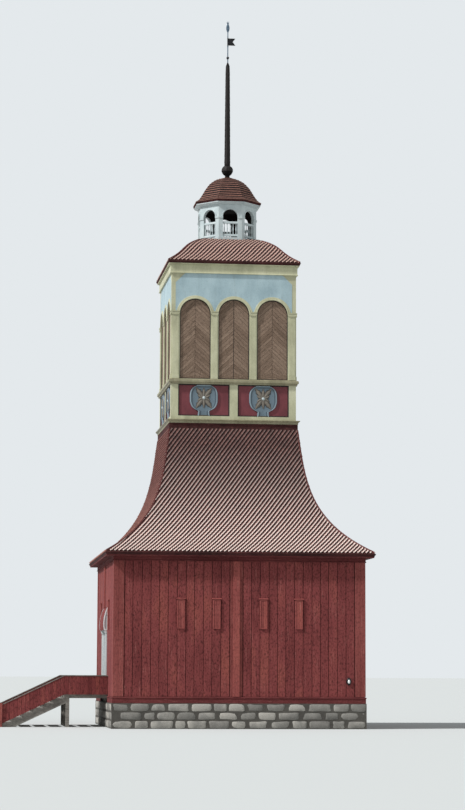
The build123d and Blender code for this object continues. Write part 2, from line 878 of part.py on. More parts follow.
def belfry_side(half_width, corner_capitals):
    """The belfry's front wall: two panel openings, three arches and their capitals."""
    with BuildPart() as wall:
        with BuildSketch(Plane.XZ.offset(belfry_inner)):
            with Locations((0, (belfry_foot + belfry_top) / 2)):
                Rectangle(2 * half_width, belfry_top - belfry_foot)
            with Locations(*[(place, panel_middle) for place in panel_places]):
                Rectangle(panel_width, panel_height, mode=Mode.SUBTRACT)
            add(arches(arch_half_width, arch_sill_level), mode=Mode.SUBTRACT)
        extrude(amount=belfry_wall)
        with BuildSketch(Plane.XZ.offset(belfry_half)):
            with Locations(*[(side * arch_pitch / 2, arch_spring_level) for side in (-1, 1)]):
                Rectangle(pier_width, capital_height, align=(Align.CENTER, Align.MIN))
            for side in (-1, 1):
                capital_inner = arch_pitch + arch_half_width
                with Locations((side * (capital_inner + half_width) / 2, arch_spring_level)):
                    Rectangle(half_width - capital_inner, capital_height, align=(Align.CENTER, Align.MIN))
        extrude(amount=capital_projection)
        if corner_capitals:
            capital_middle = belfry_inner + (belfry_wall + capital_projection) / 2
            with BuildSketch(Plane.XY.offset(arch_spring_level)):
                for side in (-1, 1):
                    with Locations((side * belfry_half, -capital_middle)):
                        Rectangle(
                            capital_projection,
                            belfry_wall + capital_projection,
                            align=(Align.MIN if side > 0 else Align.MAX, Align.CENTER),
                        )
            extrude(amount=capital_height)
    return wall.part


belfry_long_side = belfry_side(belfry_half, True)
belfry_short_side = belfry_side(belfry_inner, False)
for turn, side_name in enumerate(["front", "right", "back", "left"]):
    with BuildPart() as belfry_wall_piece:
        add(belfry_short_side if turn % 2 else belfry_long_side, rotation=(0, 0, 90 * turn))
    save(belfry_wall_piece, f"belfry_wall_{side_name}")

# Belfry panels: boards set back in the openings of the lower storey
panel_face = belfry_half - panel_recess
with BuildPart() as front_panels:
    with BuildSketch(Plane.XZ.offset(panel_face - panel_board)):
        with Locations(*[(place, panel_middle) for place in panel_places]):
            Rectangle(panel_width, panel_height)
    extrude(amount=panel_board)
belfry_panels = on_four_sides(front_panels.part)
save(belfry_panels, "belfry_panels")

# Cartouches: a shield with a rounded top and cut-in corners, on a stem down to the panel's foot
shield_top = panel_level + panel_height - (panel_height - cartouche_body_height - cartouche_waist) / 2
shield_foot = shield_top - cartouche_body_height
with BuildPart() as one_cartouche:
    with BuildSketch(Plane.XZ.offset(panel_face)):
        with BuildLine() as half_outline:
            crown = Line((0, shield_top), (cartouche_top_half, shield_top))
            shoulder = (cartouche_half_width - cartouche_thickness, shield_top - cartouche_shoulder)
            RadiusArc(crown @ 1, shoulder, -cartouche_half_width)
            flank = Line(shoulder, (cartouche_half_width, shield_foot + cartouche_waist))
            waist = (cartouche_stem_half + cartouche_thickness, shield_foot)
            RadiusArc(flank @ 1, waist, cartouche_half_width / 2)
            Polyline(
                waist,
                (cartouche_stem_half, shield_foot),
                (cartouche_stem_half, panel_level),
                (0, panel_level),
            )
            mirror(about=Plane.YZ)
        make_face()
    extrude(amount=cartouche_thickness)
    with BuildSketch(Plane.XZ.offset(panel_face + cartouche_thickness)):
        with Locations((0, (shield_top + shield_foot) / 2)):
            Circle(cartouche_boss_radius)
    extrude(amount=cartouche_thickness)
with BuildPart() as front_cartouches:
    with Locations(*[(place, 0, 0) for place in panel_places]):
        add(one_cartouche.part)
panel_cartouches = on_four_sides(front_cartouches.part)
save(panel_cartouches, "panel_cartouches")

# Belfry ledge: the moulded sill that runs round under the arcade
ledge_out = belfry_half + ledge_projection
ledge_half_depth = (ledge_top_level - ledge_level) / 2
ledge_profile = moulded_profile(
    [
        (belfry_half, ledge_level),
        (belfry_half + ledge_projection / 2, ledge_level),
        (belfry_half + ledge_projection / 2, ledge_level + ledge_half_depth / 2),
        (ledge_out, ledge_level + ledge_half_depth),
        (ledge_out, ledge_top_level),
        (belfry_half, arch_sill_level),
    ]
)
belfry_ledge = on_four_sides(mitred_side(ledge_profile, ledge_out, joint_gap))
save(belfry_ledge, "belfry_ledge")

# Belfry shutters: two closed leaves in each arch
shutter_back = belfry_half - shutter_recess - shutter_thickness
with BuildPart() as front_shutters:
    with BuildSketch(Plane.XZ.offset(shutter_back)):
        add(arches(arch_half_width, arch_sill_level, shutter_gap))
        with Locations(*[(place, arch_spring_level) for place in arch_places]):
            Rectangle(2 * shutter_gap, 4 * arch_spring_level, mode=Mode.SUBTRACT)
    extrude(amount=shutter_thickness)
belfry_shutters = on_four_sides(front_shutters.part)
save(belfry_shutters, "belfry_shutters")

# Belfry frieze: the beaded board under the upper eave, with its soffit
belfry_frieze_face = belfry_half + belfry_frieze_thickness
belfry_frieze_profile = moulded_profile(
    [
        (belfry_half, belfry_frieze_level),
        (belfry_frieze_face + frieze_bead, belfry_frieze_level),
        (belfry_frieze_face + frieze_bead, belfry_frieze_level + frieze_bead),
        (belfry_frieze_face, belfry_frieze_level + 2 * frieze_bead),
        (belfry_frieze_face, roof_soffit_foot),
        (roof_soffit_out, roof_soffit_foot),
        (roof_soffit_out, roof_soffit_top),
        (belfry_half, roof_soffit_top),
    ]
)
belfry_frieze = on_four_sides(mitred_side(belfry_frieze_profile, roof_eave_half, joint_gap))
save(belfry_frieze, "belfry_frieze")

with BuildPart() as belfry_floor:
    with BuildSketch(Plane.XY.offset(ledge_top_level + belfry_floor_rise - belfry_floor_thickness)):
        Rectangle(2 * belfry_inner, 2 * belfry_inner)
    extrude(amount=belfry_floor_thickness)
save(belfry_floor, "belfry_floor")


# Lantern: eight faces, square to the tower's sides
def octagon(apothem, mode=Mode.ADD):
    """An octagon with four of its sides square to X and Y, by the distance to its sides."""
    RegularPolygon(apothem, 8, major_radius=False, rotation=octagon_turn, mode=mode)


with BuildPart() as lantern_curb:
    with BuildSketch(Plane.XY.offset(roof_top_level)):
        octagon(lantern_apothem + curb_projection)
    extrude(amount=curb_height)
save(lantern_curb, "lantern_curb")

with BuildPart() as lantern_posts:
    for foot, top, step in (
        (curb_top, lantern_spring_level, 0.0),
        (lantern_spring_level - lantern_capital_height, lantern_spring_level, lantern_capital_projection),
    ):
        with BuildSketch(Plane.XY.offset(foot)):
            octagon(lantern_apothem + step)
            octagon(lantern_apothem - lantern_wall, Mode.SUBTRACT)
            for turn in range(4):
                Rectangle(3 * lantern_apothem, 2 * lantern_arch_half, rotation=45 * turn, mode=Mode.SUBTRACT)
        extrude(amount=top - foot)
save(lantern_posts, "lantern_posts")

with BuildPart() as lantern_arch_heads:
    with BuildSketch(Plane.XY.offset(lantern_spring_level)):
        octagon(lantern_apothem)
        octagon(lantern_apothem - lantern_wall, Mode.SUBTRACT)
        for turn in range(4):
            Rectangle(
                3 * lantern_apothem, joint_gap, rotation=(2 * turn + 1) * octagon_turn, mode=Mode.SUBTRACT
            )
    extrude(amount=lantern_head_level - lantern_spring_level)
    for turn in range(4):
        with BuildSketch(turned_plane(45 * turn)):
            with Locations((0, lantern_spring_level)):
                Circle(lantern_arch_half)
        extrude(amount=2 * lantern_apothem, both=True, mode=Mode.SUBTRACT)
save(lantern_arch_heads, "lantern_arch_heads")

# Lantern rails: a fence panel of two bars and balusters in each arch
rail_foot = curb_top + rail_foot_gap
rail_top = rail_level + rail_bar_height
rail_back = lantern_apothem - (lantern_wall + rail_bar_thickness) / 2
with BuildPart() as one_rail:
    with BuildSketch(Plane.XZ.offset(rail_back)):
        for foot in (rail_foot, rail_level):
            with Locations((0, foot)):
                Rectangle(2 * lantern_arch_half, rail_bar_height, align=(Align.CENTER, Align.MIN))
    extrude(amount=rail_bar_thickness)
    with BuildSketch(Plane.XZ.offset(rail_back + (rail_bar_thickness - baluster_side) / 2)):
        with Locations((0, (rail_foot + rail_top) / 2)):
            with GridLocations(2 * lantern_arch_half / baluster_count, 0, baluster_count, 1):
                Rectangle(baluster_side, rail_top - rail_foot - rail_bar_height)
    extrude(amount=baluster_side)
with BuildPart() as lantern_rails:
    with PolarLocations(0, 8):
        add(one_rail.part)
save(lantern_rails, "lantern_rails")

# Lantern dome, and the moulded ceiling board that it stands on
dome_outer = pull_points(
    (dome_eave_apothem, dome_eave_level),
    180 - dome_eave_pitch,
    dome_eave_pull,
    (dome_top_radius, dome_top_level),
    180 - dome_top_pitch,
    dome_top_pull,
)
dome_inner = under_points(
    dome_outer, normal_shift(dome_eave_pitch, dome_thickness), normal_shift(dome_top_pitch, dome_thickness)
)
ceiling_out, ceiling_level = dome_inner[0]
ceiling_depth = ceiling_level - lantern_head_level
with BuildPart() as lantern_cornice:
    with BuildSketch(Plane.XY.offset(lantern_head_level)) as cornice_foot:
        octagon(lantern_apothem + curb_projection)
    with BuildSketch(Plane.XY.offset(ceiling_level - ceiling_depth / 4)) as cornice_top_face:
        octagon(ceiling_out)
    loft()
    with BuildSketch(Plane.XY.offset(ceiling_level - ceiling_depth / 4)):
        octagon(ceiling_out)
    extrude(amount=ceiling_depth / 4)
save(lantern_cornice, "lantern_cornice")

lantern_dome = all_round(curved_section(dome_outer, dome_inner, closed=True), dome_eave_apothem, 8)
save(lantern_dome, "lantern_dome")

# Ball: built of staves, on a neck, with a flat on top for the mast
ball_top = ball_level + (ball_radius**2 - ball_flat_radius**2) ** 0.5
with BuildSketch(Plane.XZ) as ball_section:
    with BuildLine():
        neck_top = (neck_radius, ball_level - (ball_radius**2 - neck_radius**2) ** 0.5)
        flat_edge = (ball_flat_radius, ball_top)
        ThreePointArc(neck_top, (ball_radius, ball_level), flat_edge)
        Polyline(
            flat_edge,
            (0, ball_top),
            (0, dome_top_level),
            (dome_top_radius, dome_top_level),
            neck_top,
        )
    make_face()
spire_ball = all_round(ball_section.sketch, ball_radius, stave_count)
save(spire_ball, "spire_ball")

mast_section = moulded_profile(
    [
        (0, ball_top),
        (mast_foot_radius, ball_top),
        (mast_top_radius, mast_top_level),
        (rod_radius, mast_top_level + mast_cap_height),
        (0, mast_top_level + mast_cap_height),
    ]
)
spire_mast = all_round(mast_section, mast_foot_radius, stave_count)
save(spire_mast, "spire_mast")

# Vane rod: knob, the collar that the vane turns on, and a leaf with two prongs at the tip
rod_foot = mast_top_level + mast_cap_height
hub_foot = vane_level - vane_hub_height / 2
seat_top = hub_foot - vane_hub_clearance
leaf_top = rod_top_level + finial_leaf_height
knob_section = moulded_profile(
    [
        (0, knob_level - knob_half_height),
        (knob_radius / 2, knob_level - knob_half_height),
        (knob_radius, knob_level),
        (knob_radius / 2, knob_level + knob_half_height),
        (0, knob_level + knob_half_height),
    ]
)
with BuildPart() as vane_rod:
    with BuildSketch(Plane.XY.offset(rod_foot)):
        Circle(rod_radius)
    extrude(amount=rod_top_level - rod_foot)
    add(all_round(knob_section, knob_radius, stave_count).part)
    with BuildSketch(Plane.XY.offset(seat_top - vane_seat_height)):
        Circle(vane_seat_radius)
    extrude(amount=vane_seat_height)
    with BuildSketch(Plane.XZ):
        with BuildLine():
            leaf_foot_point = (0, rod_top_level - finial_thickness)
            leaf_side = (finial_half_width, rod_top_level + finial_belly_height)
            ThreePointArc(leaf_foot_point, leaf_side, (0, leaf_top))
            Line((0, leaf_top), leaf_foot_point)
        make_face()
        with BuildLine():
            prong_tip = (prong_spread, rod_top_level + finial_height)
            Polyline((0, leaf_top - 3 * finial_thickness), prong_tip, (0, leaf_top), close=True)
        make_face()
        mirror(about=Plane.YZ)
    extrude(amount=finial_thickness / 2, both=True)
save(vane_rod, "vane_rod")

# Weather vane: a swallow-tailed flag on a tube that turns on the rod
with BuildPart() as weather_vane:
    with BuildSketch(Plane.XY.offset(hub_foot)):
        Circle(vane_hub_radius)
    extrude(amount=vane_hub_height)
    with BuildSketch(Plane.XZ):
        with BuildLine():
            Polyline(
                (rod_radius, vane_level - vane_height / 2),
                (vane_length, vane_level - vane_height / 2),
                (vane_length - vane_notch, vane_level),
                (vane_length, vane_level + vane_height / 2),
                (rod_radius, vane_level + vane_height / 2),
                close=True,
            )
        make_face()
    extrude(amount=vane_thickness / 2, both=True)
    with BuildSketch(Plane.XY.offset(hub_foot)):
        Circle(rod_radius + vane_hub_clearance)
    extrude(amount=vane_hub_height, mode=Mode.SUBTRACT)
save(weather_vane, "weather_vane")
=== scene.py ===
from functools import partial
from math import cos, pi, radians, sin, tan

import bmesh
import bpy
import numpy as np
from mathutils import Matrix, Vector


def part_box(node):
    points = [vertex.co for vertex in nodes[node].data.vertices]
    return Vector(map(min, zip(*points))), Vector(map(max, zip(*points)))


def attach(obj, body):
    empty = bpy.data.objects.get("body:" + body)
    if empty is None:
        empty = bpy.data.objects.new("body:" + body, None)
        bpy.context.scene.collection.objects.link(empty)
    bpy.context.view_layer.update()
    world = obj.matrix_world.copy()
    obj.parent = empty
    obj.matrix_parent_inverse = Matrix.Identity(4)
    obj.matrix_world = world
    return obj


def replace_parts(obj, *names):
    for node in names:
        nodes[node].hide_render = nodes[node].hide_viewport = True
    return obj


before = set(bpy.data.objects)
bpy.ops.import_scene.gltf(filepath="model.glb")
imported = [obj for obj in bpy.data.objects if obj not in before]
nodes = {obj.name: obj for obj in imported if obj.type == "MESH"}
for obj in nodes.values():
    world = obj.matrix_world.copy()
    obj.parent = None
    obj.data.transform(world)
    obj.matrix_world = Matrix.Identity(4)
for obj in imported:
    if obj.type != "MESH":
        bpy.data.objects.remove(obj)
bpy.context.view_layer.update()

chance = np.random.default_rng(1747)

# Real sizes in metres, as in the tower's own drawing
wall_face = 4.0
foundation_face = 4.060
foundation_top = 0.800
sill_top = 1.010
floor_level = 1.090
frieze_foot = 5.283
corner_reach = 4.035 - 0.340
mid_board_face = 4.050
mid_board_place = -0.120
mid_board_half = 0.200
board_pitch = 0.284
hatch_places = (-1.890, -0.750, 0.750, 1.890)
hatch_foot = 3.144
hatch_height = 0.930
hatch_half = 0.1175
lamp_place = 3.492
lamp_level = 1.500
hood_top = 3.897
hood_half = 1.000
hood_foot = 3.150
hood_belly = 3.330
hood_reach = 0.130
hood_foot_reach = 0.105
lock_level = 2.000
landing_end = 5.430
landing_half = 1.600
parapet_face = 1.650
parapet_rise = 0.551
stair_foot = 7.422
riser = 0.155714
riser_count = 7
tread = 0.332
belfry_face = 2.075
arch_half = 0.515
arch_pitch = 1.285
arch_sill = 11.380
arch_spring = 13.530
belfry_frieze_foot = 14.891
field_end = 1.940
pilaster_rows = ((-1.9375, 0.205), (-0.6425, 0.185), (0.6425, 0.185), (1.9375, 0.205))
shutter_face = belfry_face - 0.060
panel_face = belfry_face - 0.040
panel_foot = 10.150
panel_head = 11.200
panel_ends = ((-1.835, -0.135), (0.135, 1.835))
shield_place = 0.985
shield_height = 1.040
ornament_level = 10.750
lantern_face = 0.953
lantern_inner = 0.863
lantern_foot = 16.40
lantern_spring = 17.070
lantern_arch = 0.250
rail_line = 0.908
rail_feet = (16.395, 16.830)
ceiling_level = 17.470
rod_foot = 22.600
knob_level = 22.812
leaf_foot = 23.690
prong_foot = 23.960
vane_level = 23.371
vane_length = 0.262
vane_half = 0.125
vane_notch = 0.090

# Roof sections as four control points of a cubic curve, each (distance from the axis, height)
skirt_curve = np.array([[4.333, 5.545], [2.3822, 6.6398], [2.3149, 8.0933], [2.107, 9.716]])
upper_curve = np.array([[2.220, 15.285], [1.4660, 15.7653], [1.7542, 15.9067], [0.900, 16.275]])
dome_curve = np.array([[1.115, 17.616], [0.7512, 17.8094], [0.8223, 18.4160], [0.095, 18.552]])
mast_taper = np.array([[0.094, 18.988], [0.0841, 20.125], [0.0743, 21.262], [0.0645, 22.400]])
ball_quarter = np.array([[0.98, -0.2], [1.10, 0.30], [0.82, 0.74], [0.56, 0.83]]) * 0.185 + [0, 18.838]

x_axis, y_axis, up = np.eye(3)
sides = {"right": 0.0, "back": pi / 2, "left": pi, "front": -pi / 2}


# Surfaces: points worked out as whole arrays, and the faces between them. A part is its points,
# its faces, its uv in metres across and along the grain, and a shade that tells neighbours apart.
def stacked(*values):
    """Arrays given one shape and put side by side along a last axis."""
    return np.stack(np.broadcast_arrays(*values), -1)


def travelled(path):
    """The distance along a path at each of its points."""
    return np.concatenate([[0], np.cumsum(np.linalg.norm(np.diff(path, axis=0), axis=1))])


def unit(vectors):
    """Each row's direction, at a length of 1."""
    return vectors / np.linalg.norm(vectors, axis=1)[:, None]


def grid_faces(rows, columns, close_rows=False, close_columns=False):
    """Quads between the points of a grid, row by row; a closed direction joins last to first."""
    r = np.arange(rows if close_rows else rows - 1)[:, None]
    c = np.arange(columns if close_columns else columns - 1)
    r2, c2 = (r + 1) % rows, (c + 1) % columns
    corners = stacked(r * columns + c, r * columns + c2, r2 * columns + c2, r2 * columns + c)
    return corners.reshape(-1, 4).tolist()


def tube_faces(rows, columns):
    """Faces of a tube: its grid, closed round, and a cap at both ends."""
    caps = [list(range(columns - 1, -1, -1)), list(range((rows - 1) * columns, rows * columns))]
    return grid_faces(rows, columns, False, True) + caps


def plate_faces(rows, columns):
    """Faces of a plate whose front grid comes first and its back grid second: both grids, and
    the edge between them."""
    number = np.arange(rows * columns).reshape(rows, columns)
    ring = np.concatenate([number[0], number[1:, -1], number[-1, -2::-1], number[-2:0:-1, 0]])
    after = np.roll(ring, -1)
    front = np.array(grid_faces(rows, columns))
    edge = stacked(ring, after, after + number.size, ring + number.size)
    return np.concatenate([front, front + number.size, edge]).tolist()


def joined(parts):
    """Several parts as one. A part's shade may be one number for all of it."""
    points = [np.reshape(part[0], (-1, 3)) for part in parts]
    starts = np.cumsum([0] + [len(p) for p in points]).tolist()
    faces = [[i + start for i in face] for part, start in zip(parts, starts) for face in part[1]]
    uv = [np.reshape(part[2], (-1, 2)) for part in parts]
    shade = [np.ravel(part[3]) * np.ones(len(p)) for part, p in zip(parts, points)]
    return np.concatenate(points), faces, np.concatenate(uv), np.concatenate(shade)


def placed(name, data):
    """A new object of the scene, at the origin."""
    obj = bpy.data.objects.new(name, data)
    bpy.context.scene.collection.objects.link(obj)
    return obj


def piece(name, part, material, body="root", smooth=False):
    """A mesh object from a part or a list of parts. Points that meet are welded, and faces are
    turned outwards."""
    points, faces, uv, shade = joined(part if isinstance(part, list) else [part])
    mesh = bpy.data.meshes.new(name)
    mesh.from_pydata(points, [], faces)
    mesh.polygons.foreach_set("use_smooth", np.full(len(mesh.polygons), smooth))
    corner = np.zeros(len(mesh.loops), np.int32)
    mesh.loops.foreach_get("vertex_index", corner)
    mesh.uv_layers.new(name="grain").data.foreach_set("uv", uv[corner].ravel())
    mesh.attributes.new("shade", "FLOAT", "POINT").data.foreach_set("value", shade)
    solid = bmesh.new()
    solid.from_mesh(mesh)
    bmesh.ops.remove_doubles(solid, verts=solid.verts, dist=1e-5)
    bmesh.ops.recalc_face_normals(solid, faces=solid.faces)
    solid.to_mesh(mesh)
    solid.free()
    obj = placed(name, mesh)
    mesh.materials.append(material)
    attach(obj, body)
    return obj


def side_axes(angle):
    """Across and outward directions of the tower's side that faces an angle from +X."""
    return np.array([-sin(angle), cos(angle), 0.0]), np.array([cos(angle), sin(angle), 0.0])


def on_side(angle, place, face, height):
    """A point of a side, by its distances across, outwards and up."""
    across, out = side_axes(angle)
    return across * place + out * face + up * height


def copies(shape, faces, origin, across, along, out):
    """One small shape many times: point = origin + a * across + b * along + c * out, with each
    copy's own axes. The uv is (a, b), and each copy has a random shade."""
    origin = np.atleast_2d(origin)
    count, size = len(origin), np.shape(shape)[-2]
    shape = np.broadcast_to(shape, (count, size, 3))
    axes = np.stack(np.broadcast_arrays(across, along, out), -2) * np.ones((count, 1, 1))
    points = origin[:, None, :] + np.einsum("nkj,njx->nkx", shape, axes)
    step = np.arange(count)[:, None] * size
    all_faces = [row for face in faces for row in (step + face).tolist()]
    return points, all_faces, shape[..., :2], np.repeat(chance.uniform(0, 1, count), size)


board_faces = [(6 + i, 6 + (i + 1) % 6, (i + 1) % 6, i) for i in range(6)]
board_faces += [tuple(range(6)), tuple(range(11, 5, -1))]


def board_shape(width, length, thickness, edge=0.004, slope=0.0):
    """A board with its two long front edges planed off: six profile points at each end. Both
    ends may be cut to a slope, as height = slope * distance across."""
    width, length, thickness = np.broadcast_arrays(*map(np.atleast_1d, (width, length, thickness)))
    half = width / 2
    a = stacked(-half, -half, -half + edge, half - edge, half, half)
    c = stacked(0, thickness - edge, thickness, thickness, thickness - edge, 0)
    ends = [stacked(a, slope * a, c), stacked(a, slope * a + length[:, None], c)]
    return np.concatenate(ends, 1)


def boards_on(angle, place, face, foot, *sizes):
    """Upright boards on a side's face, by their middles and the sizes that board_shape takes."""
    across, out = side_axes(angle)
    origin = on_side(angle, place, face, foot)
    return copies(board_shape(*sizes), board_faces, origin, across, up, out)


def upright_boards(angle, face, start, end, foot, head, pitch, thickness, gap, vary=0.003, edge=0.005):
    """A row of upright boards on a side's face, each a little wider or thicker than the next."""
    count = max(1, round((end - start) / pitch))
    edges = np.linspace(start, end, count + 1)
    edges[1:-1] += chance.uniform(-0.04, 0.04, count - 1) * (end - start) / count
    middle = (edges[1:, None] + edges[:-1, None]) / 2
    depth = thickness + chance.uniform(-vary, 0, count)
    return boards_on(angle, middle, face, foot, np.diff(edges) - gap, head - foot, depth, edge)


def level_boards(low, high, count, edge=0.004, gap=0.005):
    """A row of level boards side by side along X that fills the box from low to high."""
    low, size = np.array(low, float), np.subtract(high, low)
    pitch = size[0] / count
    place = low + (np.arange(count)[:, None] + 0.5) * pitch * x_axis
    return copies(board_shape(pitch - gap, size[1], size[2], edge), board_faces, place, x_axis, y_axis, up)


def swept(profile, path, side, lift):
    """A closed profile carried along an open path: point = path + a * side + b * lift, with a
    flat cap at both ends."""
    profile, path = np.asarray(profile, float), np.asarray(path, float)
    side, lift = (np.broadcast_to(axis, path.shape)[:, None] for axis in (side, lift))
    points = path[:, None] + profile[:, :1] * side + profile[:, 1:] * lift
    uv = stacked(profile.sum(1), travelled(path)[:, None])
    return points, tube_faces(len(path), len(profile)), uv, chance.uniform(0, 1)


def edged(first, proud, face, outline, profile):
    """A band round the inside of a closed outline: point = outline + a * inwards, and b proud of
    the face. Inwards is the mitre of the two edges that meet at a point."""
    outline, profile = np.asarray(outline, float), np.asarray(profile, float)
    normal = unit(np.roll(outline, -1, axis=0) - outline)[:, ::-1] * (-1, 1)
    before = np.roll(normal, 1, axis=0)
    inwards = (normal + before) / (1 + (normal * before).sum(1))[:, None]
    plan = outline[:, None] + profile[:, :1] * inwards[:, None]
    points = plan[..., :1] * first + plan[..., 1:] * up + (face + profile[:, 1:]) * proud
    uv = stacked(profile.sum(1), travelled(outline)[:, None])
    return points, grid_faces(len(outline), len(profile), True, True), uv, 0.5


def turned_piece(profile, place, around, first=x_axis, second=y_axis, axis=up):
    """A turned piece: (radius, distance) points carried round an axis, its two ends closed."""
    radius, distance = np.transpose(profile)[..., None, None]
    turn = 2 * pi * np.arange(around)[:, None] / around
    points = radius * (np.cos(turn) * first + np.sin(turn) * second) + distance * axis + place
    uv = stacked(0.05 * turn.T, distance[..., 0])
    return points, tube_faces(len(profile), around), uv, 0.5


# Outlines on a wall, as (across, height) points that run anticlockwise
def rectangle(start, end, foot, head):
    """The four corners of an upright rectangle."""
    return [(start, foot), (end, foot), (end, head), (start, head)]


def ring_outline(centre, level, radius, steps=20):
    """A circle of a radius round a point."""
    turn = 2 * pi * np.arange(steps) / steps
    return stacked(centre + radius * np.cos(turn), level + radius * np.sin(turn))


def arched(centre, half, foot, spring):
    """An arched opening: two jambs from the foot to the spring, and a half circle over them."""
    turn = np.linspace(0, pi, 33)
    arc = stacked(centre + half * np.cos(turn), spring + half * np.sin(turn))
    return np.concatenate([[(centre - half, foot), (centre + half, foot)], arc])


# Roofs
def roof_line(curve):
    """A roof's section by its arc length: the curve's places, and its whole length."""
    t = np.linspace(0, 1, 600)[:, None]
    weights = [(1 - t) ** 3, 3 * t * (1 - t) ** 2, 3 * t**2 * (1 - t), t**3]
    places = sum(w * p for w, p in zip(weights, curve))
    run = travelled(places)

    def at(s):
        return stacked(*(np.interp(s, run, axis) for axis in places.T))

    return at, run[-1]


# Shingle outlines, as parts of the width and of the exposure; the first and fourth points are
# on the middle line, where the shingle is thickest
pointed = np.array([(0, 0.0), (0.5, 1.0), (0.5, 2.1), (0, 2.1), (-0.5, 2.1), (-0.5, 1.0)])
square = np.array([(0, 0.0), (0.5, 0.0), (0.5, 1.9), (0, 1.9), (-0.5, 1.9), (-0.5, 0.0)])
shingle_faces = [(5, 4, 3, 2, 1, 0), (6, 7, 8, 9), (6, 9, 10, 11)]
shingle_faces += [(i, (i + 1) % 6, 6 + (i + 1) % 6, 6 + i) for i in range(6)]


def shingled_slope(curve, angle, slopes, width, first, last, thickness, crown, outline, start=0.036):
    """One slope in courses of shingles, each course shifted by half a shingle. A shingle is a
    wedge with a ridged back: its butt lies on the course below and its head on the roof. Exposure
    runs evenly from the first course to the last, and points past a hip are drawn back to it."""
    at, length = roof_line(curve)
    across, out = side_axes(angle)
    section = np.stack([out, up])
    ratio = tan(pi / slopes)
    count = round((length - start) / ((first + last) / 2))
    exposure = np.linspace(first, last, count)
    exposure *= (length - start) / exposure.sum()
    tips = start + np.cumsum(exposure) - exposure
    course, place = [], []
    for i, tip in enumerate(tips):
        reach = at(tip)[0] * ratio
        half = int(reach / width) + 2
        row = (np.arange(-half, half + 1) + 0.5 * (i % 2)) * width
        row = row[np.abs(row) < reach + 0.42 * width]
        place.append(row)
        course.append(np.full(len(row), i))
    place, course = np.concatenate(place), np.concatenate(course)

    # Split by hand: each shingle is a little longer, narrower, thicker or more crooked
    def uneven(low, high):
        return chance.uniform(low, high, len(course))[:, None]

    own = exposure[course][:, None] * uneven(0.985, 1.015)
    low = at(tips[course])
    slope = unit(at(np.minimum(tips[course] + 1.1 * own[:, 0], length)) - low)
    a, b = outline.T
    wide = width * uneven(0.955, 0.985)
    rise = thickness * uneven(0.92, 1.12)
    fall = 1 - b / 2.15  # from 1 at the butt to nearly 0 at the head
    top = rise * (2.0 * fall + 0.12 + uneven(-0.10, 0.10) * a) + crown * (1 - 2 * np.abs(a))
    full = [stacked(a * wide, b * own, height) for height in (rise * 1.05 * fall, top)]
    origin = low @ section + place[:, None] * across
    normal = (slope[:, ::-1] * (1, -1)) @ section
    points, faces, uv, shade = copies(
        np.concatenate(full, 1), shingle_faces, origin, across, slope @ section, normal)
    lateral = points @ across
    limit = (points @ out) * ratio
    points += (np.clip(lateral, -limit, limit) - lateral)[..., None] * across
    return points, faces, np.broadcast_to(np.tile(outline, (2, 1)), uv.shape), shade


def shingled_roof(curve, slopes, **sizes):
    """Every slope of a roof with a regular plan."""
    return [shingled_slope(curve, 2 * pi * turn / slopes, slopes, **sizes) for turn in range(slopes)]


def hip_boards(curve, half_width, thickness, start, stop=0.0):
    """Boards over the four hips, as a low ridged profile carried up the hip's own curve."""
    at, length = roof_line(curve)
    place = at(np.linspace(start, length - stop, 28))
    sink = 0.35 * half_width
    profile = [(half_width, -sink), (half_width, thickness - sink), (0, thickness + 0.012),
               (-half_width, thickness - sink), (-half_width, -sink)]
    parts = []
    for turn in range(4):
        away = side_axes((turn + 0.5) * pi / 2)[1]
        path = place[:, :1] / cos(pi / 4) * away + place[:, 1:] * up
        forward = unit(np.gradient(path, axis=0))
        side = unit(np.cross(forward, away))
        lift = np.cross(side, forward)
        lift *= np.sign(lift @ away + lift[:, 2])[:, None]
        parts.append(swept(profile, path, side, lift))
    return parts


# Materials: colours as sRGB hex, patterns by real sizes. The board of shade 1 has its pattern so
# far from the board of shade 0.
noise_shift = 53.0


def linear(colour):
    """An sRGB hex colour, or a plain grey level, as linear light."""
    if not isinstance(colour, str):
        return [colour] * 3 + [1.0]
    values = [int(colour[i : i + 2], 16) / 255 for i in (1, 3, 5)]
    return [v / 12.92 if v <= 0.04045 else ((v + 0.055) / 1.055) ** 2.4 for v in values] + [1.0]


def add_node(tree, kind, inputs, output=0, stops=(), **settings):
    """Adds one shader node and gives one of its outputs. Inputs go by the socket's name or
    number, as a value, a hex colour or another node's output; stops are places and colours."""
    made = tree.nodes.new("ShaderNode" + kind)
    for key, value in settings.items():
        setattr(made, key, value)
    for number, (place, colour) in enumerate(stops):
        band = made.color_ramp.elements
        stop = band[number] if number < 2 else band.new(place)
        stop.position = place
        stop.color = linear(colour)
    for key, value in inputs.items():
        if isinstance(value, bpy.types.NodeSocket):
            tree.links.new(value, made.inputs[key])
        else:
            made.inputs[key].default_value = linear(value) if isinstance(value, str) else value
    return made.outputs[output] if made.outputs else made


def begun(name, source, noises, apart=0.0):
    """Begins a material. Gives it, what adds its nodes, the piece's own shade, and a noise for
    each row of scale, detail, roughness and distortion. The shade moves the noise along by up to
    the distance apart, so that boards side by side differ."""
    material = bpy.data.materials.new(name)
    material.use_nodes = True
    material.node_tree.nodes.clear()
    add = partial(add_node, material.node_tree)
    place = add("TexCoord", {}, source)
    shade = add("Attribute", {}, "Fac", attribute_name="shade")
    moved = add("Math", {0: shade, 1: apart}, operation="MULTIPLY") if apart else (0, 0, 0)
    patterns = []
    for scale, detail, roughness, distortion in noises:
        spot = add("Mapping", {"Vector": place, "Location": moved, "Scale": scale})
        patterns.append(add("TexNoise", {"Vector": spot, "Scale": 1.0, "Detail": detail,
                                         "Roughness": roughness, "Distortion": distortion}))
    return material, add, shade, patterns


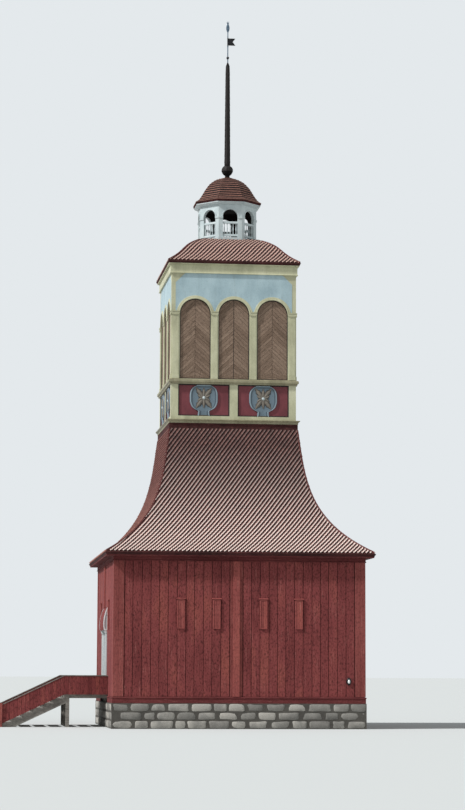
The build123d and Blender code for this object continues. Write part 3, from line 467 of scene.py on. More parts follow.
def surfaced(material, add, colour, layers, darks, height, depth, roughness, metallic=0.0, specular=0.5):
    """Ends a material: layers of (factor, colour) over its colour, dark patterns of (noise, place,
    grey, place where it ends) multiplied in, a relief of a real depth in metres, and its shader."""
    for factor, cover in layers:
        colour = add("Mix", {0: factor, 6: colour, 7: cover}, 2, data_type="RGBA")
    for noise, low, grey, high in darks:
        dark = add("ValToRGB", {0: noise}, stops=[(low, grey), (high, 1.0)])
        colour = add("Mix", {0: 1.0, 6: colour, 7: dark}, 2, data_type="RGBA", blend_type="MULTIPLY")
    normal = add("Bump", {"Height": height, "Distance": depth})
    shader = add("BsdfPrincipled", {
        "Base Color": colour, "Normal": normal, "Roughness": roughness, "Metallic": metallic,
        "Specular IOR Level": specular,
    })
    add("OutputMaterial", {"Surface": shader})
    return material


def sawn_boards(name, tones, wear_and_relief_shading, source="UV", grain=(34, 1.3, 34), spread=0.2, wear=(0.58, 0.76),
                roughness=0.92, depth=0.0024, fleck=0.62):
    """Sawn boards under distemper paint: fibres stand out along the board, drawn about 30 mm apart,
    coarser than real, so that they show from afar. The paint thins to paler streaks on them and
    flakes in flecks about 40 by 85 mm, and each board dries to its own tone. The eye sees a matt,
    chalky, streaked colour."""
    cloud = tuple(1.3 if g > 5 else 0.5 for g in grain)
    chip = tuple(0.75 * g if g > 5 else 9 * g for g in grain)
    noises = [(grain, 6.0, 0.65, 0.4), (cloud, 3.0, 0.5, 0.0), (chip, 4.0, 0.7, 0.0)]
    material, add, shade, (fibre, patch, flake) = begun(name, source, noises, noise_shift)
    tone = add("Math", {0: patch, 1: 0.9, 2: -0.05}, operation="MULTIPLY_ADD")
    mixed = add("Math", {0: shade, 1: spread, 2: tone}, operation="MULTIPLY_ADD")
    base = add("ValToRGB", {0: mixed}, stops=zip((0.2, 0.5, 0.8), tones.split()))
    streak = add("ValToRGB", {0: fibre}, stops=zip(wear, (0.0, 0.9)))
    darks = [(fibre, 0.26, 0.5, 0.46), (flake, 0.36, fleck, 0.52)]
    return surfaced(material, add, base, [(streak, wear_and_relief_shading)], darks, fibre, depth, roughness, specular=0.2)


def oil_paint(name, tones, dirt, roughness=0.5, grime=(0.52, 0.80, 0.4), carved=False):
    """Oil paint brushed on planed wood: brush marks drawn 17 mm apart, coarser than real so that
    they show, faint mottling where the film has chalked, and grime that rain leaves in streaks.
    On carved wood the shade picks the tone: dark at the edges and in the hollows as painted shade, pale on
    the crests as painted highlight. The eye sees a soft, dull sheen."""
    noises = [((60, 60, 9), 3.0, 0.6, 0.0), ((2.1, 2.1, 1.2), 5.0, 0.6, 0.0),
              ((8, 8, 0.8), 6.0, 0.7, 0.0), ((26, 26, 20), 4.0, 0.7, 0.0)]
    material, add, shade, (brush, chalk, film, speck) = begun(name, "Object", noises)
    if carved:
        chalk = add("Math", {0: chalk, 1: 0.3, 2: -0.15}, operation="MULTIPLY_ADD")
        chalk = add("Math", {0: shade, 1: chalk}, operation="ADD")
    places = (0.05, 0.4, 0.9) if carved else (0.3, 0.52, 0.75)
    base = add("ValToRGB", {0: chalk}, stops=zip(places, tones.split()))
    streak = add("ValToRGB", {0: film}, stops=[(grime[0], 0.0), (grime[1], grime[2])])
    darks = [(speck, 0.32, 0.84, 0.48)]
    return surfaced(material, add, base, [(streak, dirt)], darks, brush, 0.0009, roughness, specular=0.35)


def split_shingles(name, tones, highlight_colour, painted_shade_colour, size=(0.134, 0.095), upper_shade_span=None, slant=(-1.0, 0.5, 0.0),
                   roughness=0.85, highlight_strength=1.0):
    """Split wooden shingles, tarred and painted red, about 134 mm wide with 95 mm showing: fibres about 12 mm
    apart run down each one, and every shingle weathers to its own tone. Along the slant each shingle carries
    a painted highlight at its low edge and a painted shade in the strip next to the shingle above; where a
    span of heights is given, painted shade darkens the steep upper courses and the highlight fades there. The
    eye sees slanting light and dark rows."""
    width, exposure = size
    noises = [((80 * width, 6 * exposure, 1), 5.0, 0.7, 0.3), ((9 * width, 7 * exposure, 1), 3.0, 0.5, 0.0)]
    material, add, shade, (fibre, blotch) = begun(name, "UV", noises, noise_shift)
    tone = add("Math", {0: blotch, 1: 0.6, 2: -0.1}, operation="MULTIPLY_ADD")
    mixed = add("Math", {0: shade, 1: 0.45, 2: tone}, operation="MULTIPLY_ADD")
    base = add("ValToRGB", {0: mixed}, stops=zip((0.1, 0.35, 0.6, 0.85), tones.split()))
    # Along the slant: a painted highlight at each shingle's low edge, and a painted shade in the strip next
    # to the shingle above
    toward_shade = add("VectorMath", {0: add("TexCoord", {}, "UV"), 1: slant}, "Value", operation="DOT_PRODUCT")
    ragged = add("Math", {0: fibre, 1: 0.16, 2: -0.08}, operation="MULTIPLY_ADD")
    toward_shade = add("Math", {0: toward_shade, 1: ragged}, operation="ADD")
    painted_highlight = add("ValToRGB", {0: toward_shade}, stops=[(0.12, highlight_strength), (0.43, 0.0)])
    painted_shade = add("ValToRGB", {0: toward_shade}, stops=[(0.43, 0.0), (0.63, 0.97)])
    layers = [(painted_highlight, highlight_colour), (painted_shade, painted_shade_colour)]
    if upper_shade_span:
        # Painted shade on the steep upper courses: darker towards the top, where the painted highlight also
        # fades
        height = add("SeparateXYZ", {0: add("TexCoord", {}, "Object")}, "Z")
        upper_highlight_fade = add("MapRange", {0: height, 1: upper_shade_span[0], 2: upper_shade_span[1], 3: 1.0, 4: 0.15})
        painted_upper_shade = add("MapRange", {0: height, 1: upper_shade_span[0], 2: upper_shade_span[1] - 1.0, 3: 0.0, 4: 0.5})
        painted_highlight = add("Math", {0: painted_highlight, 1: upper_highlight_fade}, operation="MULTIPLY")
        layers = [(painted_upper_shade, painted_shade_colour), (painted_highlight, highlight_colour), (painted_shade, painted_shade_colour)]
    darks = [(fibre, 0.26, 0.62, 0.46)]
    return surfaced(material, add, base, layers, darks, fibre, 0.0028, roughness, specular=0.25)


def split_granite(name, tones):
    """Rough split granite or rubble mortar: grains of about 11 mm in greys with a little rust, and
    a broken face with hollows 70 mm apart. The eye sees a speckled, uneven stone."""
    noises = [((90, 90, 90), 3.0, 0.8, 0.0), ((2.4, 2.4, 2.4), 5.0, 0.6, 0.0),
              ((14, 14, 14), 6.0, 0.7, 0.0)]
    material, add, shade, (speck, broad, break_face) = begun(name, "Object", noises)
    mixed = add("Math", {0: shade, 1: 0.6, 2: broad}, operation="MULTIPLY_ADD")
    base = add("ValToRGB", {0: mixed}, stops=zip((0.4, 0.8, 1.15), tones.split()))
    darks = [(speck, 0.34, 0.5, 0.5)]
    return surfaced(material, add, base, [], darks, break_face, 0.012, 0.88, specular=0.3)


def forged_iron(name, tones, roughness=0.45, metallic=0.6):
    """Forged iron under worn black paint: hammer marks about 22 mm apart and a little rust in
    the hollows. The eye sees a dark, dully shining, uneven skin."""
    noises = [((45, 45, 45), 3.0, 0.5, 0.0), ((16, 16, 16), 6.0, 0.7, 0.0)]
    material, add, _, (mark, rust) = begun(name, "Object", noises)
    base = add("ValToRGB", {0: rust}, stops=zip((0.45, 0.6, 0.78), tones.split()))
    return surfaced(material, add, base, [], [], mark, 0.0015, roughness, metallic)


# Patterns to the metre on timber that stands, and on timber that lies
standing, lying = (34, 34, 1.3), (4, 4, 34)
wall_red = sawn_boards("distemper_red_boards", "#693030 #803f3e #945046", "#a76c64", spread=0.12, fleck=0.42)
# The wall behind the boards in near black red: painted shade in the gaps between the boards
gap_shade_red = sawn_boards("distemper_red_gap_shade", "#1d0d0d #271212 #331918", "#4a2624", "Object", standing)
trim_red = sawn_boards("distemper_red_trim", "#793d3a #8c4b47 #9c584f", "#b0786f", "Object", standing)
level_red = sawn_boards("distemper_red_level", "#572727 #6c3434 #7d413c", "#9d6a62", "Object", lying)
uv_trim_red = sawn_boards("distemper_red_covers", "#773a38 #8e4a46 #9f574e", "#b37970")
roof_deck = sawn_boards("tarred_roof_boards", "#321a19 #462423 #573230", "#6e443e", "Object", (6, 6, 22))
hip_red = sawn_boards("tarred_hip_boards", "#4a2625 #5f3432 #734540", "#a98076")
skirt_tones = "#5f3936 #784945 #8e5b54 #a8746a"
# Each shingle paint: its tones, then the colour of its painted highlight and the colour of its painted shade
skirt_shingle = split_shingles("tarred_red_shingles", skirt_tones, "#f8e6dc", "#1e0f0e", upper_shade_span=(6.1, 9.2))
# A copy for the left slope alone: a fainter painted highlight, a lighter painted shade, and painted upper
# shade that starts lower
left_slope_shingle = split_shingles("left_slope_red_shingles", skirt_tones, "#b98478", "#2a1615",
                                   upper_shade_span=(5.6, 8.2))
roof_shingle = split_shingles("tarred_roof_shingles", "#4a2b29 #603a37 #754a45 #8c5d56", "#d9b9ac",
                              "#1e0f0e", (0.134, 0.100))
dome_shingle = split_shingles("tarred_dome_shingles", "#1c0f0d #311b18 #4b2b26 #764c43", "#b58676",
                              "#0a0504", (0.105, 0.1), slant=(0.0, 1.0, 0.0), highlight_strength=0.5)
mast_shingle = split_shingles("tarred_mast_shingles", "#0a0807 #120e0d #1b1514 #28201d", "#352a26",
                              "#070505", (0.05, 0.11), roughness=0.6, highlight_strength=0.5)
cream = oil_paint("cream_oil_paint", "#a4a386 #b8b798 #c7c6aa", "#7c7862")
# A darker copy of the cream, with heavier streaks, for the cornice and ledge under the eave: painted shade
shaded_cream = oil_paint("shaded_cream_paint", "#7b765d #8e896f #a09b80", "#565240",
                         grime=(0.48, 0.74, 0.5))
blue_grey = oil_paint("blue_grey_oil_paint", "#91a7ae #a0b6bc #aec2c7", "#84928f")
panel_red = oil_paint("panel_red_oil_paint", "#5f2a30 #6f343a #7e4045", "#45222a", 0.6)
shield_blue = oil_paint("shield_oil_paint", "#3f4c55 #64747e #94a3aa", "#4b575e", carved=True)
carved_brown = oil_paint("carved_oil_paint", "#14100e #544d46 #827b70", "#2e2721", carved=True)
# A darker, bluish copy of the white for the lantern and the bosses: painted shade
shaded_white_paint = oil_paint("shaded_white_oil_paint", "#aab6b8 #b9c4c5 #c8d1d0", "#8f9896")
door_white = oil_paint("door_white_paint", "#c8cecf #d5dada #e1e4e3", "#a9aeac")
end_grey = oil_paint("grey_oil_paint", "#a3a4a5 #b2b3b4 #c0c0c0", "#8b8a88")
door_paint = oil_paint("door_oil_paint", "#5d6c74 #6c7c84 #7b8b92", "#4b5559")
door_boards_paint = sawn_boards("door_boards_paint", "#67777f #788890 #8999a0", "#a3adb0", "UV",
                                (40, 2, 40), 0.3, (0.6, 0.8), roughness=0.6, depth=0.0014)
shutter_brown = sawn_boards("brown_shutter_boards", "#6b5849 #857060 #978270", "#b09c88", "UV",
                            (40, 2.4, 40), 0.14, (0.58, 0.8), roughness=0.75, depth=0.0014, fleck=0.55)
shutter_frame = oil_paint("brown_oil_paint", "#3a2e26 #4a3c32 #5a4a3e", "#2b221c", 0.6)
grey_tones = "#6f6b65 #8b8780 #a19d95"
planks = sawn_boards("weathered_planks", grey_tones, "#b9b5ab", "UV", (42, 1.6, 42), 0.4)
level_planks = sawn_boards("weathered_timber", grey_tones, "#b9b5ab", "Object", (8, 8, 30))
granite = split_granite("split_granite", "#6b6964 #8b8882 #a8a49c")
mortar = split_granite("lime_mortar", "#4d4a45 #5b5852 #6a6760")
black_iron = forged_iron("forged_black_iron", "#1a1a1d #242427 #40332b")
grey_iron = forged_iron("painted_grey_iron", "#4a5c6c #5a6d7d #66686a", 0.4, 0.3)
# Opal glass, pressed and polished: milk white with a little rain grime, so the eye sees a clean gloss
opal_glass = oil_paint("opal_glass", "#dfe2e0 #e8eae8 #f0f1ef", "#c2c4be", 0.15, (0.6, 0.85, 0.3))
# Near black beads in the reveals and a strip where the shutter leaves meet: painted shade
shade_bead_black = oil_paint("black_shade_bead_paint", "#120d0b #1a1411 #241c18", "#0d0a08")
# Near black boards and ceiling inside the lantern: painted shade
painted_shade_lining = sawn_boards("painted_shade_lining", "#141110 #1d1917 #28221f", "#332b27", "Object", (20, 20, 4))
tarred_mast = sawn_boards("tarred_mast", "#0b0908 #120e0d #1a1513", "#28201d", "Object", (40, 40, 4))

# The frame's own pieces, by their material
for material, names in (
    (mortar, "foundation"),
    (gap_shade_red, "front_wall right_wall back_wall left_wall_near left_wall_far left_wall_over_door"),
    (trim_red, "corner_boards mid_boards slit_hatches stair_parapets"),
    (level_red, "sill_band eave_frieze"),
    (roof_deck, "skirt_roof_front skirt_roof_right skirt_roof_back skirt_roof_left skirt_top_band"),
    (roof_deck, "upper_roof lantern_dome"),
    (cream, "belfry_wall_front belfry_wall_right belfry_wall_back belfry_wall_left belfry_frieze"),
    (shaded_cream, "belfry_cornice belfry_ledge"),
    (panel_red, "belfry_panels"),
    (shield_blue, "panel_cartouches"),
    (shutter_frame, "belfry_shutters"),
    (shaded_white_paint, "lantern_curb lantern_posts lantern_arch_heads lantern_rails lantern_cornice"),
    (door_white, "door_pilasters door_jambs door_lintel"),
    (end_grey, "door_hood"),
    (level_planks, "floor_joists ground_floor belfry_floor landing_deck landing_frame"),
    (level_planks, "stair_stringers stair_treads parapet_caps door_sill"),
    (door_paint, "door_leaf_near door_leaf_far"),
    (black_iron, "door_straps_near door_straps_far door_pintles weather_vane"),
    (grey_iron, "vane_rod"),
    (tarred_mast, "spire_ball spire_mast"),
):
    for name in names.split():
        nodes[name].data.materials.clear()
        nodes[name].data.materials.append(material)

# Shingles on the skirt roof, the upper roof, the dome, the mast and the ball
for side, angle in sides.items():
    slope = shingled_slope(skirt_curve, angle, 4, width=0.134, first=0.100, last=0.089, thickness=0.019,
                           crown=0.010, outline=pointed)
    slope_shingle_paint = left_slope_shingle if side == "left" else skirt_shingle
    piece(f"skirt_shingles_{side}", slope, slope_shingle_paint)
slopes = shingled_roof(upper_curve, 4, width=0.134, first=0.100, last=0.100, thickness=0.018,
                       crown=0.010, outline=pointed)
piece("upper_roof_shingles", slopes, roof_shingle)
gores = shingled_roof(dome_curve, 8, width=0.105, first=0.102, last=0.096, thickness=0.014,
                      crown=0.002, outline=square, start=0.014)
piece("dome_shingles", gores, dome_shingle)
hips = hip_boards(skirt_curve, half_width=0.030, thickness=0.040, start=0.060)
piece("skirt_hip_boards", hips, hip_red)
hips = hip_boards(upper_curve, half_width=0.028, thickness=0.038, start=0.040, stop=0.16)
piece("upper_hip_boards", hips, hip_red)
gores = shingled_roof(mast_taper, 12, width=0.048, first=0.115, last=0.105, thickness=0.004,
                      crown=0.001, outline=pointed, start=0.012)
piece("mast_shingles", gores, mast_shingle)
gores = shingled_roof(ball_quarter, 12, width=0.060, first=0.040, last=0.036, thickness=0.003,
                      crown=0.001, outline=square, start=0.012)
piece("ball_shingles", gores, mast_shingle)


# Foundation of split stones
def stone(centre, half, first, out):
    """A rounded stone: the sphere's direction cosines each raised to the power 0.34, with two
    slow waves over its skin for the broken face."""
    u = 2 * pi * np.arange(16) / 16
    v = np.linspace(-pi / 2, pi / 2, 9)[:, None]
    cosines = stacked(np.cos(v) * np.cos(u), np.cos(v) * np.sin(u), np.sin(v))
    skin = np.sign(cosines) * np.abs(cosines) ** 0.34
    phase = chance.uniform(0, 2 * pi, 3)
    wave = 1 + 0.06 * np.sin(3.1 * skin[..., :1] + phase[0]) * np.cos(2.7 * skin[..., 2:] + phase[1])
    wave += 0.04 * np.sin(5.3 * skin[..., 1:2] + phase[2])
    points = centre + (skin * wave * half) @ np.stack([first, out, up])
    return points, grid_faces(9, 16, False, True), points[..., [0, 2]], chance.uniform(0, 1)


stones = []
course_height = foundation_top / 3
stone_length = 0.62
stone_depth = 0.105
mortar_gap = 0.004
for course in range(3):
    for number, angle in enumerate(sides.values()):
        # Courses pass the corner in turn, as in a bonded wall
        reach = foundation_face + (0.018 if (course + number) % 2 else -0.225)
        count = round(2 * reach / stone_length)
        edges = np.linspace(-reach, reach, count + 1)
        edges[1:-1] += chance.uniform(-0.14, 0.14, count - 1)
        level = (course + 0.5) * course_height
        for left, right in zip(edges[:-1], edges[1:]):
            centre = on_side(angle, (left + right) / 2, foundation_face - stone_depth, level)
            half = np.array([(right - left) / 2 - mortar_gap, 0.122, course_height / 2 - mortar_gap])
            stones.append(stone(centre, half * [0.93, 1, 0.93], *side_axes(angle)))
piece("foundation_stones", stones, granite, smooth=True)

# Boards on the base walls, and a planed board over each middle board
# Spans stop short of the trim, the corners and the parapet, so the near black wall behind shows there as
# painted shade
inset = 0.012
wall_end = corner_reach - inset
beside_parapet = parapet_face + 0.004 + inset
mid_left = mid_board_place - mid_board_half - inset
mid_right = mid_board_place + mid_board_half + inset
trim_left, trim_right = mid_board_place - 0.110, mid_board_place + 0.110
wall_parts, trim_parts = [], []
for side, angle in sides.items():
    spans = [(-wall_end, mid_left, sill_top), (mid_right, wall_end, sill_top)]
    if side == "left":
        spans = [
            (-wall_end, -beside_parapet, sill_top), (beside_parapet, wall_end, sill_top),
            (-parapet_face, -hood_half, floor_level + 0.003), (hood_half, parapet_face, floor_level + 0.003),
            (-hood_half, mid_left, hood_top), (mid_right, hood_half, hood_top),
        ]
    for start, end, foot in spans:
        wall_parts.append(upright_boards(angle, wall_face, start, end, foot, frieze_foot, board_pitch,
                                         thickness=0.022, gap=0.016, edge=0.006))
    foot = hood_top if side == "left" else sill_top
    trim_parts.append(upright_boards(angle, mid_board_face, trim_left, trim_right, foot, frieze_foot, 0.22,
                                     thickness=0.012, gap=0.004, vary=0.001))
piece("wall_boards", wall_parts, wall_red)
piece("trim_boards", trim_parts, uv_trim_red)

# Covers over the slits: two boards in a frame of battens under a sloping cap. Bands have points
# (distance inwards, proud) and swept sections (distance out, height).
frame_band = [(0, 0), (0, 0.014), (0.004, 0.018), (0.028, 0.018), (0.032, 0.010), (0.032, 0)]
cap_section = [(0.0, -0.020), (0.074, -0.020), (0.080, -0.006), (0.078, 0.002), (0.0, 0.030)]
cover_face = wall_face + 0.045
batten = 0.030
cover_inner = hatch_half - batten
hatch_head = hatch_foot + hatch_height
cap_reach = np.array([[-0.150], [0.150]])
cover_parts = []
for side, angle in sides.items():
    across, out = side_axes(angle)
    for place in hatch_places:
        if side == "left" and abs(place) < hood_half:
            continue
        cover_parts.append(upright_boards(
            angle, cover_face, place - cover_inner, place + cover_inner, hatch_foot + batten,
            hatch_head - batten, cover_inner, thickness=0.008, gap=0.006, vary=0.001, edge=0.003))
        outline = rectangle(place - hatch_half, place + hatch_half, hatch_foot, hatch_head)
        cover_parts.append(edged(across, out, cover_face, outline, frame_band))
        ends = on_side(angle, place + cap_reach, wall_face, hatch_head + 0.022)
        cover_parts.append(swept(cap_section, ends, out, up))
piece("slit_cover_boards", cover_parts, uv_trim_red)

# An oval lamp low on the front wall: a dark rim round a domed opal glass
across, out = side_axes(sides["front"])
oval = (on_side(sides["front"], lamp_place, wall_face + 0.020, lamp_level), 28, 0.62 * across, up, out)
rim = [(0.120, 0.0), (0.120, 0.030), (0.110, 0.046), (0.080, 0.052), (0.067, 0.046), (0.063, 0.030),
       (0.020, 0.028)]
glass = [(0.066, 0.0285), (0.063, 0.046), (0.050, 0.058), (0.032, 0.065), (0.010, 0.067)]
piece("lamp_rim", turned_piece(rim, *oval), black_iron, smooth=True)
piece("lamp_glass", turned_piece(glass, *oval), opal_glass, smooth=True)


# Belfry: fields over the arches, archivolts, pilaster boards, near black beads as painted shade, and shutter
# boards
def arch_field(angle, face, start, end, top, centres, radius, spring, thickness, cut=0.0):
    """A boarded field over a row of arches: its lower edge follows each arch's circle, its upper
    edge is level with both corners cut at 45 degrees, and four profile points run along it."""
    across, out = side_axes(angle)
    turn = np.linspace(0, pi, 25)
    a = [np.linspace(start, end, 41)] + [centre + radius * np.cos(turn) for centre in centres]
    a = np.unique(np.concatenate(a).round(6))
    a = a[(a >= start) & (a <= end)]
    nearest = np.abs(a[:, None] - centres).min(1)
    low = spring + np.sqrt(np.clip(radius**2 - nearest**2, 0, None))
    high = top - np.clip(cut - (a - start), 0, None) - np.clip(cut - (end - a), 0, None)
    z = stacked(low, low, high, high)
    c = np.array([0, thickness, thickness, 0])
    points = a[:, None, None] * across + z[..., None] * up + (face + c)[:, None] * out
    return points, tube_faces(len(a), 4), stacked(z, a[:, None] + c), chance.uniform(0, 1)


def archivolt(angle, face, centre, radius, spring, profile):
    """A band round an arch: a profile of (distance from the opening, proud) carried along a
    half circle."""
    across, out = side_axes(angle)
    turn = np.linspace(0, pi, 33)[:, None]
    ray = np.cos(turn) * across + np.sin(turn) * up
    return swept(profile, on_side(angle, centre, face, spring) + ray * radius, ray, out)


def herringbone(angle, face, centre, half, foot, spring, gap, pitch=0.14, rise=0.47, thickness=0.015):
    """Both leaves' slanting boards: each board is a six-point profile carried from the meeting
    edge outwards and down, cut off by the sill and by the arch's circle."""
    across, out = side_axes(angle)
    joint, edge = 0.003, 0.005
    step = np.array([joint, joint, joint + edge, pitch - joint - edge, pitch - joint, pitch - joint])
    proud = np.array([0, thickness - edge, thickness, thickness, thickness - edge, 0])
    parts = []
    for hand in (-1, 1):
        for columns, upper in ((2, False), (12, True)):
            a = np.linspace(gap, half, columns)[:, None]
            crown = spring + np.sqrt(np.clip(half**2 - a**2, 0, None)) - 0.002
            low = np.arange(foot - rise, spring + half + rise, pitch) + chance.uniform(-0.004, 0.004)
            reaches_arch = low + pitch > spring + rise * gap / half
            low = low[reaches_arch == upper][:, None, None]
            z = np.clip(low + step - rise / half * (a - gap), foot, crown)
            z = z[np.ptp(z, axis=2).max(axis=1) > 0.004]
            shape = stacked(hand * a, z, proud).reshape(len(z), -1, 3)
            origin = np.broadcast_to(on_side(angle, centre, face, 0.0), (len(z), 3))
            points, faces, uv, shade = copies(shape, tube_faces(columns, 6), origin, across, up, out)
            a, z = uv[..., 0], uv[..., 1]
            parts.append((points, faces, stacked(z + a * hand * rise / half, a - z * 0.1), shade))
    return parts


arch_band = [(0, 0), (0, 0.026), (0.008, 0.032), (0.030, 0.032), (0.036, 0.018), (0.100, 0.014),
             (0.106, 0.008), (0.106, 0)]
# Near black beads inside each arched opening and round each panel: painted shade in the reveals
opening_bead = [(-0.001, -0.047), (-0.001, -0.026), (0.018, -0.028), (0.028, -0.037), (0.028, -0.047)]
panel_bead = [(0, 0), (0, 0.037), (0.012, 0.037), (0.030, 0.024), (0.036, 0.010), (0.036, 0)]
arch_centres = (-arch_pitch, 0.0, arch_pitch)
strip_height = arch_spring + arch_half - arch_sill - 0.012
fields, bands, pilasters, beads, leaves = [], [], [], [], []
for angle in sides.values():
    across, out = side_axes(angle)
    fields.append(arch_field(angle, belfry_face, -field_end, field_end, belfry_frieze_foot, arch_centres,
                             arch_half + 0.10, arch_spring, thickness=0.006, cut=0.31))
    for centre in arch_centres:
        bands.append(archivolt(angle, belfry_face, centre, arch_half, arch_spring, arch_band))
        gap = 0.010 if centre == 0.0 else 0.005
        leaves += herringbone(angle, shutter_face, centre, arch_half - 0.004, arch_sill + 0.004,
                              arch_spring, gap)
        # A near black strip down the joint where the two leaves meet: painted shade
        beads.append(boards_on(angle, centre, shutter_face, arch_sill + 0.004, 2 * gap - 0.002,
                               strip_height, 0.004, 0.001))
        opening = arched(centre, arch_half, arch_sill, arch_spring)
        beads.append(edged(across, out, belfry_face, opening, opening_bead))
    for place, width in pilaster_rows:
        # The shaft, its base and the two steps of its capital
        for foot, height, proud, wider in (
            (arch_sill, 2.15, 0.012, 0.0),
            (arch_sill, 0.13, 0.026, 0.03),
            (arch_spring - 0.024, 0.020, 0.036, 0.03),
            (arch_spring + 0.082, 0.020, 0.046, 0.05),
        ):
            pilasters.append(boards_on(angle, place, belfry_face, foot, width + wider, height, proud))
    for start, end in panel_ends:
        opening = rectangle(start, end, panel_foot, panel_head)
        beads.append(edged(across, out, panel_face, opening, panel_bead))
piece("belfry_fields", fields, blue_grey)
piece("belfry_archivolts", bands, cream)
piece("belfry_pilasters", pilasters, cream)
piece("belfry_shade_beads", beads, shade_bead_black)
piece("shutter_boards", leaves, shutter_brown)


# Cartouches: a carved shield with a raised rim, and an ornament of leaves round a boss
def shield(angle, face, centre):
    """A shield on a stem as a height field: its half width over its height is a rounded body
    joined smoothly to a flaring stem, and its relief is a rim round a dished middle."""
    across, out = side_axes(angle)
    body_middle, body_reach, body_half, stem_half = 0.600, 0.440, 0.467, 0.195
    u = np.sin(np.linspace(-pi / 2, pi / 2, 41))
    z = shield_height * np.linspace(0, 1, 61)[:, None]
    body = body_half * np.clip(1 - np.abs((z - body_middle) / body_reach) ** 3.2, 0, None) ** (1 / 2.4)
    body = np.where(z > 0.97, np.maximum(body, 0.24), body)
    stem = stem_half + 0.025 * np.exp(-z / 0.05)
    half = np.log(np.exp(26 * body) + np.exp(26 * stem)) / 26 - 0.006 * (z < 0.5)
    half = np.where(z > 0.45, body, half)
    edge = np.minimum((1 - np.abs(u)) * half, shield_height - z)
    rim = np.exp(-(((edge - 0.030) / 0.016) ** 2))
    dish = -0.010 * np.clip((edge - 0.06) / 0.1, 0, 1)
    height = 0.030 * np.clip(edge / 0.012, 0, 1) ** 0.5 + 0.014 * rim + dish
    plan = stacked(u * half, panel_foot + z)
    flat = plan[..., :1] * across + plan[..., 1:] * up + centre * across
    points = np.stack([flat + (face + height)[..., None] * out, flat + face * out])
    # The rim is paler as painted highlight, and the groove inside it darker as painted shade
    wear_and_relief_shading = 0.38 + 0.45 * rim - 0.38 * np.exp(-(((edge - 0.075) / 0.020) ** 2))
    return points, plate_faces(61, 41), np.stack([plan, plan]), np.stack([wear_and_relief_shading, 0 * wear_and_relief_shading])


def blade(first, out, root, heading, length, width, bend, lobes=0.24, thick=0.020):
    """A carved leaf: its width is a lobed sine along a bending midrib, and the blade is ridged
    at the midrib, hollow beside it and rounded down at its edge."""
    u = np.linspace(0, 1, 25)
    v = np.linspace(-1, 1, 13)
    turn = radians(heading) + bend * u**1.5
    step = stacked(np.cos(turn), np.sin(turn))
    rib = np.cumsum(step, 0) * length / len(u)
    half = width * np.sin(pi * np.clip(0.06 + 0.94 * u, 0, 1)) ** 0.75 * (1 + lobes * np.sin(7 * pi * u) * u)
    aside = step[:, ::-1] * (-1, 1)
    plan = rib[:, None] + (half[:, None] * v)[..., None] * aside[:, None]
    ridge = thick * np.sin(pi * np.clip(0.15 + 0.8 * u, 0, 1))[:, None]
    height = 0.3 * thick + ridge * (0.55 + 0.45 * np.exp(-((v / 0.18) ** 2)) + 0.22 * np.cos(3.4 * v))
    height = height * np.clip((1 - np.abs(v)) / 0.2, 0, 1) ** 0.5
    flat = root + plan[..., :1] * first + plan[..., 1:] * up
    points = np.stack([flat + height[..., None] * out, flat - 0.2 * thick * out])
    # On carved paint the midrib is pale as painted highlight, and the leaf's edge near black as painted shade
    wear_and_relief_shading = np.broadcast_to(np.clip(1.15 - np.abs(v) ** 1.5 * 1.25, 0, 1) * 0.75, height.shape)
    return points, plate_faces(25, 13), np.stack([plan, plan]), np.stack([wear_and_relief_shading, 0 * wear_and_relief_shading])


boss = [(0.050, 0), (0.050, 0.026), (0.042, 0.036), (0.035, 0.033), (0.030, 0.045), (0.010, 0.054)]
shields, ornaments, bosses = [], [], []
for angle in sides.values():
    across, out = side_axes(angle)
    for centre in (-shield_place, shield_place):
        shields.append(shield(angle, panel_face, centre))
        middle = on_side(angle, centre, panel_face + 0.018, ornament_level)
        # Each leaf's heading in degrees, length, width and bend
        for leaf in (
            (50, 0.43, 0.090, 0.12), (130, 0.43, 0.090, -0.12), (-50, 0.43, 0.090, -0.12),
            (-130, 0.43, 0.090, 0.12), (14, 0.24, 0.052, 0.6), (166, 0.24, 0.052, -0.6),
            (-14, 0.24, 0.052, -0.6), (-166, 0.24, 0.052, 0.6), (90, 0.34, 0.062, 0.0),
            (-90, 0.34, 0.062, 0.0),
        ):
            ornaments.append(blade(across, out, middle, *leaf))
        bosses.append(turned_piece(boss, middle, 20, across, up, out))
shield_piece = piece("cartouche_shields", shields, shield_blue, smooth=True)
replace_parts(shield_piece, "panel_cartouches")
piece("cartouche_ornaments", ornaments, carved_brown, smooth=True)
piece("cartouche_bosses", bosses, shaded_white_paint, smooth=True)

